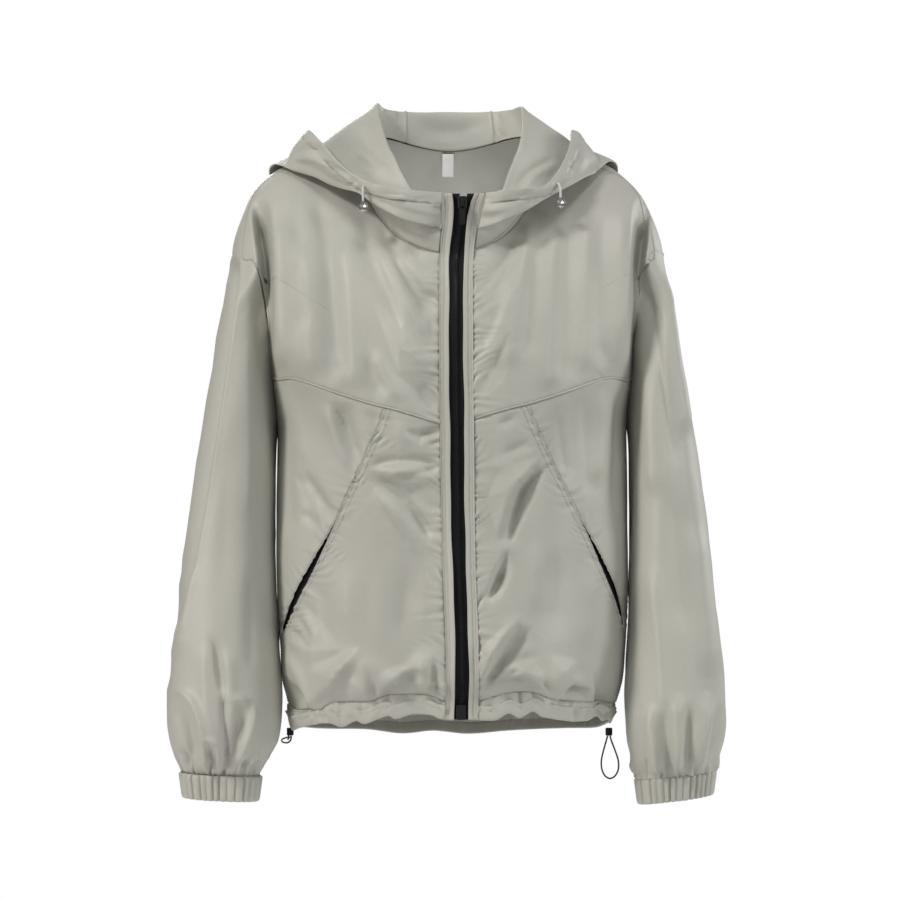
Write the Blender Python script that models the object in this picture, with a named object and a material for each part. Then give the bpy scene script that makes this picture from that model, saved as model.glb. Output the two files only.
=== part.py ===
"""Hooded sun protection jacket, worn shape with no wearer: cloth panels as thin closed walls.

The front faces -Y and the wearer's left is +X.  The origin lies at the middle of the neck opening,
level with the neck points of the shoulders.  Tables are in millimetres and the model is in metres.
"""
import math
from collections import namedtuple

import bpy
import bmesh
import numpy as np
from mathutils import Vector, kdtree

MM = 0.001
CLOTH = 1.2            # thickness of a cloth wall
CUFF_CLOTH = 2.4       # doubled cloth over elastic
CASING_CLOTH = 2.0     # hem channel, doubled cloth with the cord between
SEAM_GAP = 0.3         # air between neighbouring pieces
PLACKET_WIDTH = 9.0
SEAM_UNDER = 5.0       # what the zip tape reaches under each placket
TROUGH_DEPTH = 30.0    # the long fold in front of each armhole
BALL_RADIUS = 5.6
HOOD_CORD_DIAMETER = 2.4
HEM_CORD_DIAMETER = 1.8
SIDES = {"l": 1.0, "r": -1.0}

# body and its folds
NECK_ROW = 0.0
TROUGH_TOP = -46.0
TROUGH_FULL = -80.0
TROUGH_END = -250.0
ZIP_TOP = -52.5
ARMPIT_ROW = 8.0
POCKET_LOW_ROW = 12.0
POCKET_MOUTH_TOP = -384.0
POCKET_MOUTH_WIDTH = 5.0
MOUTH_END_GAP = 1.5
SHOULDER_SEAM = [(0, 97), (1.5, 92), (3, 89)]

# parts of each seam and edge
SHOULDER_PARTS = 4
ARMHOLE_PARTS = 8
YOKE_INNER = 7
YOKE_SPREAD = [0, 0.28, 0.52, 0.72, 0.88, 1]
POCKET_PARTS = 6
SIDE_LOW_PARTS = 3
ARMHOLE_BACK_PARTS = 10
HEM_PARTS = 10
BACK_PARTS = 16
CASING_PARTS = 2

# sleeves and cuffs
SLEEVE_PARTS = 11
SEAM_PULL = 46.0  # length over which the armhole's shape fades into the sleeve's
SEAM_DROP = 0.9  # the sleeve starts this far below the shoulder's edge
TROUGH_CLEAR = 1.3  # extra room where sleeve and body fold against each other
CUFF_HEIGHT = 26.0
CUFF_TAPER = 3.5
CUFF_SIDES = 16

# hood
CENTRE_STATION = 11  # the seam between hood side and hood centre
HOOD_SEAM_GAP = 1.1
RIDGE_ROUND = 9.0  # cloth length that turns at the ridge, each way
FOLD_ROUND = 12.0
OUTER_BELLY = 7.0  # outward curve of the outer wall
STAND_LIFT = 1.1  # the stand starts just above and inside the neck seam
STAND_INSET = 0.5
STAND_PARTS, RIDGE_PARTS, INNER_PARTS, FOLD_PARTS, OUTER_PARTS = 2, 3, 3, 4, 3
REST_CLEAR = 7.2  # from the middle of the hood's cloth to the middle of the cloth it lies on
SAMPLE_ROWS = 36
SAMPLE_ANGLES = 120

# zips
TAPE = 0.8
TAPE_DEPTH = 1.6  # the tape lies this far behind the middle of the front cloth
NOTCH_Z = -62.0  # above this the two tapes part in a V
ZIP_LOW_Z = -584.5
SLIDER_TOP_Z = -55.0
SLIDER_SIZE = (9.0, 6.4, 12.5)  # across, deep, high
BRIDGE_SIZE = (2.2, 4.4, 8.0)  # the arch on the slider's front that carries the pull tab
BRIDGE_HOLE = (6.0, 2.3, 4.8)
PULL_SIZE = (6.4, 1.4, 23.0)
PULL_BAR = 1.4  # the tab's top bar, under the arch
PULL_SLOT = (3.4, 6.0, 5.4)
PULL_OUT = 1.55  # the hinge lies this far before the slider's front
PULL_HINGE_UP = -0.5
CHAIN_WIDTH = 4.6
CHAIN_THICK = 1.8
CHAIN_TOP_Z = SLIDER_TOP_Z - SLIDER_SIZE[2] - 0.6
CHAIN_BOTTOM_Z = -569.0
BOX_SIZE = (9.5, 4.2, 15.0)
SLOPE_ROOM = 0.7  # the front slopes a little behind the hard pieces
MOUTH_BACK = 3.6  # the strip lies this far behind the panels' middle
MOUTH_HALF = 5.5

# cords and label
SLOT_SIZE = (5.0, 26.0, 6.5)
TOGGLE_RADIUS = 3.6
TOGGLE_HEIGHT = 8.0
LABEL_SIZE = (12.0, 0.8, 24.0)
LABEL_PLACE = (-2.0, 60.6, -11.6)


def remove_everything():
    for old in list(bpy.data.objects):
        bpy.data.objects.remove(old, do_unlink=True)


def material(name, colour, roughness, metallic=0.0):
    made = bpy.data.materials.get(name)
    if made is None:
        made = bpy.data.materials.new(name)
        made.use_nodes = True
        shader = made.node_tree.nodes["Principled BSDF"]
        shader.inputs["Base Color"].default_value = (*colour, 1.0)
        shader.inputs["Roughness"].default_value = roughness
        shader.inputs["Metallic"].default_value = metallic
    return made


def shell_cloth():
    return material("shell_cloth", (0.46, 0.45, 0.39), 0.55)


def zip_black():
    return material("zip_black", (0.012, 0.012, 0.014), 0.5)


def smooth_rows(rows, t):
    """Value of a table of equal rows at t, which counts rows, along a smooth curve through them."""
    last = len(rows) - 1
    t = min(max(t, 0.0), float(last))
    i = min(int(t), last - 1)
    f = t - i
    a = np.array(rows[max(i - 1, 0)], float)
    b = np.array(rows[i], float)
    c = np.array(rows[i + 1], float)
    d = np.array(rows[min(i + 2, last)], float)
    return b + 0.5 * f * (c - a + f * (2 * a - 5 * b + 4 * c - d + f * (3 * (b - c) + d - a)))


def at_height(rows, z):
    """Row of a table whose first column falls from row to row, read smoothly at height z."""
    heights = [row[0] for row in rows]
    for i in range(len(rows) - 1):
        if z >= heights[i + 1] or i == len(rows) - 2:
            f = (heights[i] - z) / (heights[i] - heights[i + 1])
            return smooth_rows(rows, i + min(max(f, 0.0), 1.0))


def ease(f):
    f = min(max(f, 0.0), 1.0)
    return f * f * (3 - 2 * f)


def power(value, exponent):
    return math.copysign(abs(value) ** exponent, value)


# ---------------------------------------------------------------- torso
# Rings from the neck seam down to the hem, in mm.  A ring meets the middle of the front, both sides
# and the middle of the back; "square" is its superellipse exponent and "lift" raises its back quarters.
Ring = namedtuple("Ring", "right left side_z front_y front_z back_y back_z square lift")
TORSO = [
    Ring(94, 94, -11, -99, -113, 62, 3, 2.0, 10),
    Ring(133, 131, -15, -111, -137, 82, -20, 2.1, 7),
    Ring(174, 166, -23, -119, -164, 102, -52, 2.2, 3),
    Ring(199, 190, -39, -124, -190, 114, -90, 2.3, 0),
    Ring(213, 206, -62, -127, -212, 121, -126, 2.35, 0),
    Ring(226, 221, -109, -130, -240, 125, -166, 2.4, 0),
    Ring(213, 211, -165, -131, -268, 126, -208, 2.4, 0),
    Ring(190, 194, -220, -131, -294, 126, -250, 2.4, 0),
    Ring(180, 184, -270, -130, -318, 125, -290, 2.4, 0),
    Ring(180, 184, -330, -129, -356, 124, -340, 2.4, 0),
    Ring(180, 184, -390, -128, -402, 123, -396, 2.4, 0),
    Ring(179, 184, -450, -127, -452, 123, -452, 2.4, 0),
    Ring(176, 182, -510, -127, -506, 124, -514, 2.4, 0),
    Ring(174, 179, -548, -125, -542, 124, -556, 2.4, 0),
    Ring(169, 172, -575, -114, -565, 114, -590, 2.4, 0),
    Ring(166, 167, -596, -113, -585, 112, -613, 2.4, 0),
]
CASING_ROW = len(TORSO) - 2.0
HEM_ROW = len(TORSO) - 1.0

# The long fold in front of each armhole, in mm: height, its middle and half width seen from the front.
Trough = namedtuple("Trough", "z right left half")
TROUGH = [
    Trough(-40, 197, 198, 3),
    Trough(-60, 195, 197.5, 8),
    Trough(-83, 192, 196, 8.5),
    Trough(-114, 188, 192.5, 7.5),
    Trough(-156, 185.5, 190.5, 7),
    Trough(-200, 184.5, 190, 7),
    Trough(-262, 183, 189, 6),
    Trough(-300, 183, 189, 5),
]


def torso_plain(row, theta):
    """Point of the torso in mm: row counts rings, theta is 0 at the zip, +90 at the wearer's left."""
    ring = Ring(*smooth_rows(TORSO, row))
    s = math.sin(math.radians(theta))
    c = math.cos(math.radians(theta))
    width = ring.left if s > 0 else ring.right
    depth = ring.front_y if c > 0 else ring.back_y
    bend = 2.0 / ring.square
    x = width * power(s, bend)
    y = depth * abs(c) ** bend
    one = (ring.front_z - ring.back_z) / 2
    two = (ring.front_z + ring.back_z - 2 * ring.side_z) / 4
    level = (ring.front_z + ring.back_z + 2 * ring.side_z) / 4
    quarter = ring.lift * (math.cos(math.radians(3 * theta)) - c) / 2
    z = level + one * c + two * math.cos(math.radians(2 * theta)) + quarter
    return np.array([x, y, z])


def trough_push(x, z):
    """How far the front is pushed back into the long fold at a place seen from the front."""
    fold = Trough(*at_height(TROUGH, z))
    middle = fold.left if x > 0 else fold.right
    off = abs(abs(x) - middle) / fold.half
    along = ease((TROUGH_TOP - z) / (TROUGH_TOP - TROUGH_FULL)) * ease((z - TROUGH_END) / 40.0)
    return TROUGH_DEPTH * along * ease((1.4 - off) / 1.2)


def torso_normal(row, theta):
    """Outward direction of the torso, the same for every panel that meets there."""
    row = min(max(row, 0.02), HEM_ROW - 0.02)
    down = torso_plain(row + 0.02, theta) - torso_plain(row - 0.02, theta)
    across = torso_plain(row, theta + 1.0) - torso_plain(row, theta - 1.0)
    normal = np.cross(down, across)
    return normal / np.linalg.norm(normal)


def torso(row, theta):
    """Torso with the long folds, which sink straight back and down but not sideways."""
    point = torso_plain(row, theta)
    if abs(theta) < 89.0 and point[2] < TROUGH_TOP:
        push = trough_push(point[0], point[2])
        if push > 0.0:
            inward = -torso_normal(row, theta) * (0, 1, 1)
            push = min(push, max(-4.0 - point[1], 0.0) + push * abs(inward[2]))
            point = point + inward / np.linalg.norm(inward) * push
    return point


def torso_at(x, z, front=True):
    """Ring and angle whose point shows at (x, z) from the front, by Newton steps."""
    theta = 55.0 if front else 125.0
    theta = math.copysign(theta, x)
    row = 6.0
    for _ in range(60):
        here = torso_plain(row, theta)
        by_row = (torso_plain(row + 0.01, theta) - here) / 0.01
        by_theta = (torso_plain(row, theta + 0.05) - here) / 0.05
        matrix = np.array([[by_row[0], by_theta[0]], [by_row[2], by_theta[2]]])
        step = np.linalg.lstsq(matrix, np.array([x - here[0], z - here[2]]), rcond=1e-6)[0]
        row = min(max(row + np.clip(step[0], -0.5, 0.5), 0.0), HEM_ROW - 0.02)
        theta = theta + float(np.clip(step[1], -6, 6))
        low, high = (0.5, 89.5) if front else (90.5, 179.5)
        theta = math.copysign(min(max(abs(theta), low), high), x)
    return row, theta


# ---------------------------------------------------------------- seams on the torso, in mm
# The zip's middle and half width at each height, and the front line that it follows in depth.
ZIP_LINE = [
    (-52, 13.7, 12.0), (-60, 12.6, 9.5), (-74, 11.0, 8.0), (-112, 7.0, 8.0), (-140, 6.0, 8.0),
    (-292, 7.0, 8.0), (-423, 9.0, 7.5), (-524, 12.4, 7.5), (-585, 11.0, 8.0),
]
FRONT_LINE = [
    (-52, -103), (-80, -100.5), (-113, -99), (-137, -111), (-164, -119), (-190, -124), (-212, -127),
    (-240, -130), (-294, -131), (-350, -129.5), (-402, -128), (-455, -127), (-506, -127), (-542, -125),
    (-565, -114), (-585, -113),
]
# Armhole seen from the front, from the shoulder seam to the armpit: height and distance from the middle.
Armhole = namedtuple("Armhole", "z right left")
ARMHOLE = [
    Armhole(-107, 214, 211), Armhole(-117, 202.5, 200), Armhole(-138, 192, 194), Armhole(-170, 187.5, 191.5),
    Armhole(-205, 185.5, 190), Armhole(-243, 182.5, 187), Armhole(-270, 180, 184),
]
# Yoke seam: distance from the middle and height.
YOKE_SEAM = [
    (0, -289), (50, -273.5), (85, -264.5), (116, -254.5), (150, -242.5), (166, -239.5), (183, -243),
]
# Pocket seam: height and distance from the middle.
Pocket = namedtuple("Pocket", "z right left")
POCKET_SEAM = [
    Pocket(-269, 66, 78), Pocket(-306, 80, 95), Pocket(-337, 96, 111), Pocket(-366, 107.5, 124),
    Pocket(-392, 119, 137), Pocket(-424, 134, 151), Pocket(-462, 153, 167), Pocket(-493, 168, 178),
]


def of_side(row, side):
    return row.left if side > 0 else row.right


def zip_heights():
    """Heights at which every strip along the zip has its points, so that they lie flat on each other."""
    knots = [row[0] for row in FRONT_LINE]
    between = [(a + b) / 2 for a, b in zip(knots, knots[1:])]
    return sorted(knots + between, reverse=True)


ZIP_HEIGHTS = zip_heights()
ZIP_DEPTHS = [at_height(FRONT_LINE, z)[1] for z in ZIP_HEIGHTS]


def zip_line(z):
    """Middle and half width of the zip, and the depth of the front, at height z."""
    _, middle, half = at_height(ZIP_LINE, z)
    return middle, half, float(np.interp(-z, [-h for h in ZIP_HEIGHTS], ZIP_DEPTHS))


def zip_stretch(top, bottom):
    return [top] + [z for z in ZIP_HEIGHTS if bottom + 0.5 < z < top - 0.5] + [bottom]


def placket_edge(z, side, extra=0.0):
    middle, half, _ = zip_line(z)
    return middle + side * (half + PLACKET_WIDTH + SEAM_GAP + extra)


def sample(points, segments, spread=None, place=np.array):
    """Points of a smooth curve through the given ones, by equal shares or those of spread.

    place turns a point into the mm position along which the shares are measured.
    """
    points = [tuple(p) for p in points]
    lengths = [0.0]
    fine = [smooth_rows(points, i * (len(points) - 1) / 200) for i in range(201)]
    for a, b in zip(fine, fine[1:]):
        lengths.append(lengths[-1] + float(np.linalg.norm(place(b) - place(a))))
    shares = spread or [i / segments for i in range(segments + 1)]
    out = []
    for share in shares:
        want = share * lengths[-1]
        i = int(np.searchsorted(lengths, want))
        i = min(max(i, 1), 200)
        f = (want - lengths[i - 1]) / max(lengths[i] - lengths[i - 1], 1e-9)
        out.append(fine[i - 1] + (fine[i] - fine[i - 1]) * min(max(f, 0.0), 1.0))
    return out


def ring_place(pair):
    return torso_plain(*pair)


def on_torso(points, front=True):
    """(x, z) points seen from the front or back, as (ring, angle) pairs."""
    return [np.array(torso_at(x, z, front)) for x, z in points]


class Seams:
    """The seam lines of one side as lists of (ring, angle); panels on both sides of a seam share them."""

    def __init__(self, side):
        self.side = side
        arm = [(side * of_side(a, side), a.z) for a in ARMHOLE]
        crest = on_torso(arm[:1])[0]
        shoulder = [(row, side * angle) for row, angle in SHOULDER_SEAM] + [tuple(crest)]
        self.shoulder = sample(shoulder, SHOULDER_PARTS, place=ring_place)
        front = on_torso(arm[:-1])
        armpit = np.array([ARMPIT_ROW, side * 90.0])
        self.armhole = sample(front, ARMHOLE_PARTS, place=ring_place)
        self.armhole_low = [front[-1], armpit]
        back = [(side * x, z) for x, z in self.back_places()]
        top = np.array([5.0, side * 90.0])
        self.armhole_back = sample([crest, top] + on_torso(back, False) + [armpit],
                                   ARMHOLE_BACK_PARTS, place=ring_place)
        yoke = [(side * x, z) for x, z in YOKE_SEAM]
        self.yoke_start = self.yoke_point(placket_edge(-288.0, side))
        pocket_top = self.yoke_point(side * of_side(POCKET_SEAM[0], side))
        inner = [self.yoke_start] + [p for p in yoke if self.between(p, self.yoke_start, pocket_top)]
        outer = [pocket_top] + [p for p in yoke if self.between(p, pocket_top, arm[-2])] + [arm[-2]]
        self.yoke_inner = on_torso(sample(inner + [pocket_top], YOKE_INNER))
        self.yoke_outer = on_torso(sample(outer, 5, YOKE_SPREAD))
        pocket = [pocket_top] + [(side * of_side(p, side), p.z) for p in POCKET_SEAM[1:]]
        self.pocket = on_torso(sample(pocket, POCKET_PARTS - 1))
        self.pocket.append(np.array([POCKET_LOW_ROW, side * 87.0]))
        low = np.array([POCKET_LOW_ROW, side * 90.0])
        self.side_high = sample([tuple(armpit), (10.0, side * 90.0), tuple(low)],
                                POCKET_PARTS - 1, place=ring_place)
        casing = np.array([CASING_ROW, side * 90.0])
        self.side_low = sample([tuple(low), tuple(casing)], SIDE_LOW_PARTS)

    def back_places(self):
        return [(of_side(a, self.side) - 3, a.z) for a in ARMHOLE[1:-1]]

    def yoke_point(self, x):
        z = float(np.interp(abs(x), [p[0] for p in YOKE_SEAM], [p[1] for p in YOKE_SEAM]))
        return (x, z)

    @staticmethod
    def between(point, low, high):
        return abs(low[0]) + 6 < abs(point[0]) < abs(high[0]) - 6


def crossing(left, top, right, bottom):
    """Grid between four sides of (ring, angle) pairs: left and right run down, top and bottom across."""
    rows, columns = len(left) - 1, len(top) - 1
    grid = []
    for i in range(rows + 1):
        v = i / rows
        line = []
        for j in range(columns + 1):
            u = j / columns
            across = left[i] * (1 - u) + right[i] * u
            down = top[j] * (1 - v) + bottom[j] * v
            corner_top = top[0] * (1 - u) + top[-1] * u
            corner_bottom = bottom[0] * (1 - u) + bottom[-1] * u
            line.append(across + down - corner_top * (1 - v) - corner_bottom * v)
        grid.append(line)
    return grid


def placed(grid):
    return [[torso(*pair) for pair in line] for line in grid]


def torso_wall(name, pairs, thickness=CLOTH, places=None):
    """A cloth wall on a grid of (ring, angle) pairs."""
    normals = [[torso_normal(*pair) for pair in line] for line in pairs]
    return wall(name, places or placed(pairs), shell_cloth(), thickness, normals=normals)


# ---------------------------------------------------------------- cloth walls
def trimmed(grid, gap, closed=False):
    """The grid with its outer lines drawn in by half of the seam gap."""
    rows, columns = len(grid), len(grid[0])
    out = [[p.copy() for p in line] for line in grid]

    def towards(p, q):
        step = q - p
        return step * min(gap / 2 / max(np.linalg.norm(step), 1e-6), 0.4)

    for j in range(columns):
        out[0][j] = out[0][j] + towards(grid[0][j], grid[1][j])
        out[-1][j] = out[-1][j] + towards(grid[-1][j], grid[-2][j])
    if not closed:
        for i in range(rows):
            out[i][0] = out[i][0] + towards(grid[i][0], grid[i][1])
            out[i][-1] = out[i][-1] + towards(grid[i][-1], grid[i][-2])
    return out


def grid_normals(grid, closed=False):
    array = np.array(grid)
    rows, columns = array.shape[:2]
    normals = np.zeros_like(array)
    for i in range(rows):
        for j in range(columns):
            down = array[min(i + 1, rows - 1), j] - array[max(i - 1, 0), j]
            if closed:
                across = array[i, (j + 1) % columns] - array[i, j - 1]
            else:
                across = array[i, min(j + 1, columns - 1)] - array[i, max(j - 1, 0)]
            normal = np.cross(down, across)
            normals[i, j] = normal / max(np.linalg.norm(normal), 1e-9)
    return normals


def wall(name, grid, finish, thickness=CLOTH, gap=SEAM_GAP, closed=False, normals=None):
    """A closed wall of even thickness about a grid; closed joins its last column to its first."""
    grid = trimmed(grid, gap, closed)
    normals = grid_normals(grid, closed) if normals is None else np.array(normals)
    array = np.array(grid)
    rows, columns = array.shape[:2]
    mesh = bpy.data.meshes.new(name)
    solid = bmesh.new()
    faces = []
    layers = []
    for sign in (0.5, -0.5):
        moved = (array + normals * thickness * sign) * MM
        layers.append([[solid.verts.new(p) for p in line] for line in moved])
    spans = columns if closed else columns - 1
    for i in range(rows - 1):
        for j in range(spans):
            k = (j + 1) % columns
            for layer in layers:
                faces.append((layer[i][j], layer[i][k], layer[i + 1][k], layer[i + 1][j]))
    for i in (0, rows - 1):
        for j in range(spans):
            k = (j + 1) % columns
            faces.append((layers[0][i][j], layers[0][i][k], layers[1][i][k], layers[1][i][j]))
    if not closed:
        for j in (0, columns - 1):
            for i in range(rows - 1):
                faces.append((layers[0][i][j], layers[0][i + 1][j], layers[1][i + 1][j], layers[1][i][j]))
    for face in faces:
        solid.faces.new(face)
    bmesh.ops.recalc_face_normals(solid, faces=solid.faces[:])
    solid.to_mesh(mesh)
    solid.free()
    mesh.shade_smooth()
    return keep(name, mesh, finish)


def keep(name, mesh, finish):
    made = bpy.data.objects.new(name, mesh)
    made.data.materials.append(finish)
    bpy.context.scene.collection.objects.link(made)
    return made


# ---------------------------------------------------------------- body panels
def theta_at_placket(row, side):
    """Angle at which a ring meets the edge of the placket."""
    front_z = Ring(*smooth_rows(TORSO, row)).front_z
    goal = placket_edge(front_z, side)
    low, high = -40.0, 40.0
    for _ in range(30):
        middle = (low + high) / 2
        if torso_plain(row, middle)[0] < goal:
            low = middle
        else:
            high = middle
    return low


def placket_side(row_top, row_bottom, parts, side):
    rows = [row_top + (row_bottom - row_top) * i / parts for i in range(parts + 1)]
    return [np.array([row, theta_at_placket(row, side)]) for row in rows]


def neck_line(start, end, parts):
    return [np.array([NECK_ROW, start + (end - start) * i / parts]) for i in range(parts + 1)]


def front_panels(letter, side, seams):
    """The yoke, the side panel and the centre panel of one front."""
    start_row = seams.yoke_inner[0][0]
    left = placket_side(NECK_ROW, start_row, SHOULDER_PARTS + ARMHOLE_PARTS, side)
    seams.yoke_inner[0] = left[-1]
    top = neck_line(left[0][1], SHOULDER_SEAM[0][1] * side, YOKE_INNER + 5)
    right = seams.shoulder + seams.armhole[1:]
    bottom = seams.yoke_inner + seams.yoke_outer[1:]
    torso_wall("front_yoke_" + letter, crossing(left, top, right, bottom))

    right = seams.armhole_low[:1] + seams.side_high
    low_edge = sample([tuple(seams.pocket[-1]), tuple(seams.side_high[-1])], 5, place=ring_place)
    pairs = crossing(seams.pocket, seams.yoke_outer, right, low_edge)
    grid = placed(pairs)
    for i, pair in enumerate(seams.pocket):
        span = np.linalg.norm(grid[i][-1] - grid[i][0])
        opened = min(POCKET_MOUTH_WIDTH * ease((POCKET_MOUTH_TOP - grid[i][0][2]) / 90.0), span / 3)
        away = (grid[i][1] - grid[i][0]) / np.linalg.norm(grid[i][1] - grid[i][0])
        for j, point in enumerate(grid[i]):
            grid[i][j] = point + away * opened * (1 - j / 5)
    for j, point in enumerate(grid[-1]):
        up = grid[-2][j] - point
        grid[-1][j] = point + up / np.linalg.norm(up) * MOUTH_END_GAP
    torso_wall("front_side_" + letter, pairs, places=grid)

    left = placket_side(start_row, CASING_ROW, POCKET_PARTS + 1 + SIDE_LOW_PARTS, side)
    right = seams.pocket + [seams.side_high[-1]] + seams.side_low[1:]
    bottom = casing_line(side, HEM_PARTS)
    top = sample([tuple(p) for p in seams.yoke_inner], HEM_PARTS, place=ring_place)
    torso_wall("front_centre_" + letter, crossing(left, top, right, bottom))


def casing_line(side, parts, row=CASING_ROW):
    start = theta_at_placket(row, side)
    return [np.array([row, start + (side * 90.0 - start) * i / parts]) for i in range(parts + 1)]


def back_panel(seams):
    """One panel between the shoulder seams, the back armholes, the side seams and the hem casing."""
    def edge(one):
        return one.shoulder + one.armhole_back[1:] + one.side_high[1:] + one.side_low[1:]

    left, right = edge(seams["l"]), [pair * (1, 1) for pair in edge(seams["r"])]
    for pair in right:
        pair[1] = 360.0 + pair[1]
    top = neck_line(SHOULDER_SEAM[0][1], 360.0 - SHOULDER_SEAM[0][1], BACK_PARTS)
    bottom = [np.array([CASING_ROW, 90.0 + 180.0 * i / BACK_PARTS]) for i in range(BACK_PARTS + 1)]
    torso_wall("back", crossing(left, top, right, bottom))


def hem_casings():
    """The turned channel below the casing seam, in two fronts and a back."""
    rows = [CASING_ROW + (HEM_ROW - CASING_ROW) * i / CASING_PARTS for i in range(CASING_PARTS + 1)]
    for letter, side in SIDES.items():
        torso_wall("hem_front_" + letter, [casing_line(side, HEM_PARTS, row) for row in rows], CASING_CLOTH)
    spans = [90.0 + 180.0 * i / BACK_PARTS for i in range(BACK_PARTS + 1)]
    torso_wall("hem_back", [[(row, angle) for angle in spans] for row in rows], CASING_CLOTH)


def plackets():
    """A narrow band beside the zip from the top of the hood to the hem, in line with the fronts."""
    for letter, side in SIDES.items():
        grid = []
        for z in zip_stretch(ZIP_TOP, TORSO[-1].front_z):
            middle, half, depth = zip_line(z)
            inner = middle + side * half
            grid.append([np.array([inner + side * PLACKET_WIDTH * k / 2, depth, z]) for k in range(3)])
        wall("placket_" + letter, grid, shell_cloth())


# ---------------------------------------------------------------- sleeves and cuffs, in mm
# A sleeve seen from the front: height, outer and inner edge, then the depth of its middle and half depth.
Sleeve = namedtuple("Sleeve", "z outer inner middle_y half_y")
SLEEVE = {
    "r": [
        Sleeve(-100, 225, 180, 2, 60), Sleeve(-140, 232, 184, 0, 70), Sleeve(-200, 242, 186, -2, 78),
        Sleeve(-260, 252.5, 185.5, -4, 80),
        Sleeve(-320, 262, 185, -8, 76),
        Sleeve(-380, 270.5, 184, -12, 72),
        Sleeve(-440, 278.5, 181, -16, 68), Sleeve(-500, 284, 179, -19, 65), Sleeve(-550, 289, 177, -21, 62),
        Sleeve(-590, 292, 176.5, -23, 60), Sleeve(-612, 289, 179, -24, 56), Sleeve(-630, 284, 187, -25, 47),
        Sleeve(-640, 279.5, 193, -25, 38), Sleeve(-646, 277.5, 196.5, -25, 32),
    ],
    "l": [
        Sleeve(-100, 220, 188, 2, 60), Sleeve(-140, 228, 192, 0, 70), Sleeve(-200, 236.5, 194, -2, 78),
        Sleeve(-260, 247, 192.5, -4, 80), Sleeve(-320, 257, 191, -8, 76), Sleeve(-380, 265, 189.5, -12, 72),
        Sleeve(-440, 272, 187.5, -16, 68),
        Sleeve(-500, 278.5, 186, -19, 65),
        Sleeve(-550, 283.5, 184.5, -21, 62),
        Sleeve(-590, 285.5, 183.5, -23, 60),
        Sleeve(-612, 283, 184, -24, 56),
        Sleeve(-630, 276.5, 188, -25, 47),
        Sleeve(-640, 274, 191, -25, 38), Sleeve(-646, 273, 193, -25, 32),
    ],
}
CUFF_TILT = {"r": 2.0, "l": 5.0}       # how far the outer edge of the cuff is above its middle


def sleeve_column(letter, z, angle):
    """Point of the sleeve's own tube; angle is 0 outside, 90 in front and 180 inside."""
    row = Sleeve(*at_height(SLEEVE[letter], z))
    c, s = math.cos(math.radians(angle)), math.sin(math.radians(angle))
    middle, half = (row.outer + row.inner) / 2, (row.outer - row.inner) / 2
    x = middle + half * power(c, 0.9)
    return np.array([SIDES[letter] * x, row.middle_y - row.half_y * power(s, 0.9), z])


def armhole_ring(seams):
    """The armhole once round as mm points, from the shoulder seam forwards."""
    pairs = seams.armhole + seams.armhole_low[1:] + seams.armhole_back[-2:0:-1]
    return [torso(*pair) for pair in pairs]


def sleeve_angles(points):
    """Angles for the armhole's points by their share of its length, with the armpit at 180."""
    low = min(range(len(points)), key=lambda i: points[i][2])
    crest = max(range(len(points)), key=lambda i: abs(points[i][0]))
    count = len(points)
    lengths = [0.0]
    for i in range(count):
        a, b = points[(crest + i) % count], points[(crest + i + 1) % count]
        lengths.append(lengths[-1] + float(np.linalg.norm(b - a)))
    half = lengths[(low - crest) % count]
    angles = [0.0] * count
    for i in range(count):
        share = lengths[i]
        if share <= half:
            angle = 180.0 * share / half
        else:
            angle = 180.0 + 180.0 * (share - half) / (lengths[-1] - half)
        angles[(crest + i) % count] = angle
    return angles


def sleeve_and_cuff(letter, seams):
    side = SIDES[letter]
    ring = armhole_ring(seams)
    angles = sleeve_angles(ring)
    end = SLEEVE[letter][-1].z
    grid = []
    for i in range(SLEEVE_PARTS + 1):
        share = (i / SLEEVE_PARTS) ** 1.15
        line = []
        for start, angle in zip(ring, angles):
            tilt = CUFF_TILT[letter] * math.cos(math.radians(angle))
            z = start[2] + (end + tilt - start[2]) * share
            point = sleeve_column(letter, z, angle)
            point[2] = z
            pull = math.exp(-((start[2] - z) / SEAM_PULL) ** 2 * 2.0)
            correction = start - sleeve_column(letter, start[2], angle)
            deep = ease((ring[0][2] - 14.0 - start[2]) / 30.0)
            room = np.array([side * (SEAM_DROP / 2 + TROUGH_CLEAR * deep), 0.0, -SEAM_DROP])
            line.append(point + (correction + room) * pull)
        grid.append(line)
    wall("sleeve_" + letter, grid, shell_cloth(), closed=True)
    cuff = []
    for i in range(4):
        share = i / 3
        line = []
        for angle in [360.0 * k / CUFF_SIDES for k in range(CUFF_SIDES)]:
            tilt = CUFF_TILT[letter] * math.cos(math.radians(angle))
            point = sleeve_column(letter, end, angle)
            centre = (SLEEVE[letter][-1].outer + SLEEVE[letter][-1].inner) / 2
            shrink = 1 - CUFF_TAPER * share / 40
            point[0] = side * (centre + (abs(point[0]) - centre) * shrink)
            point[2] = end + tilt - CLOTH - CUFF_HEIGHT * share
            line.append(point)
        cuff.append(line)
    wall("cuff_" + letter, cuff, shell_cloth(), CUFF_CLOTH, closed=True)


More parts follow.
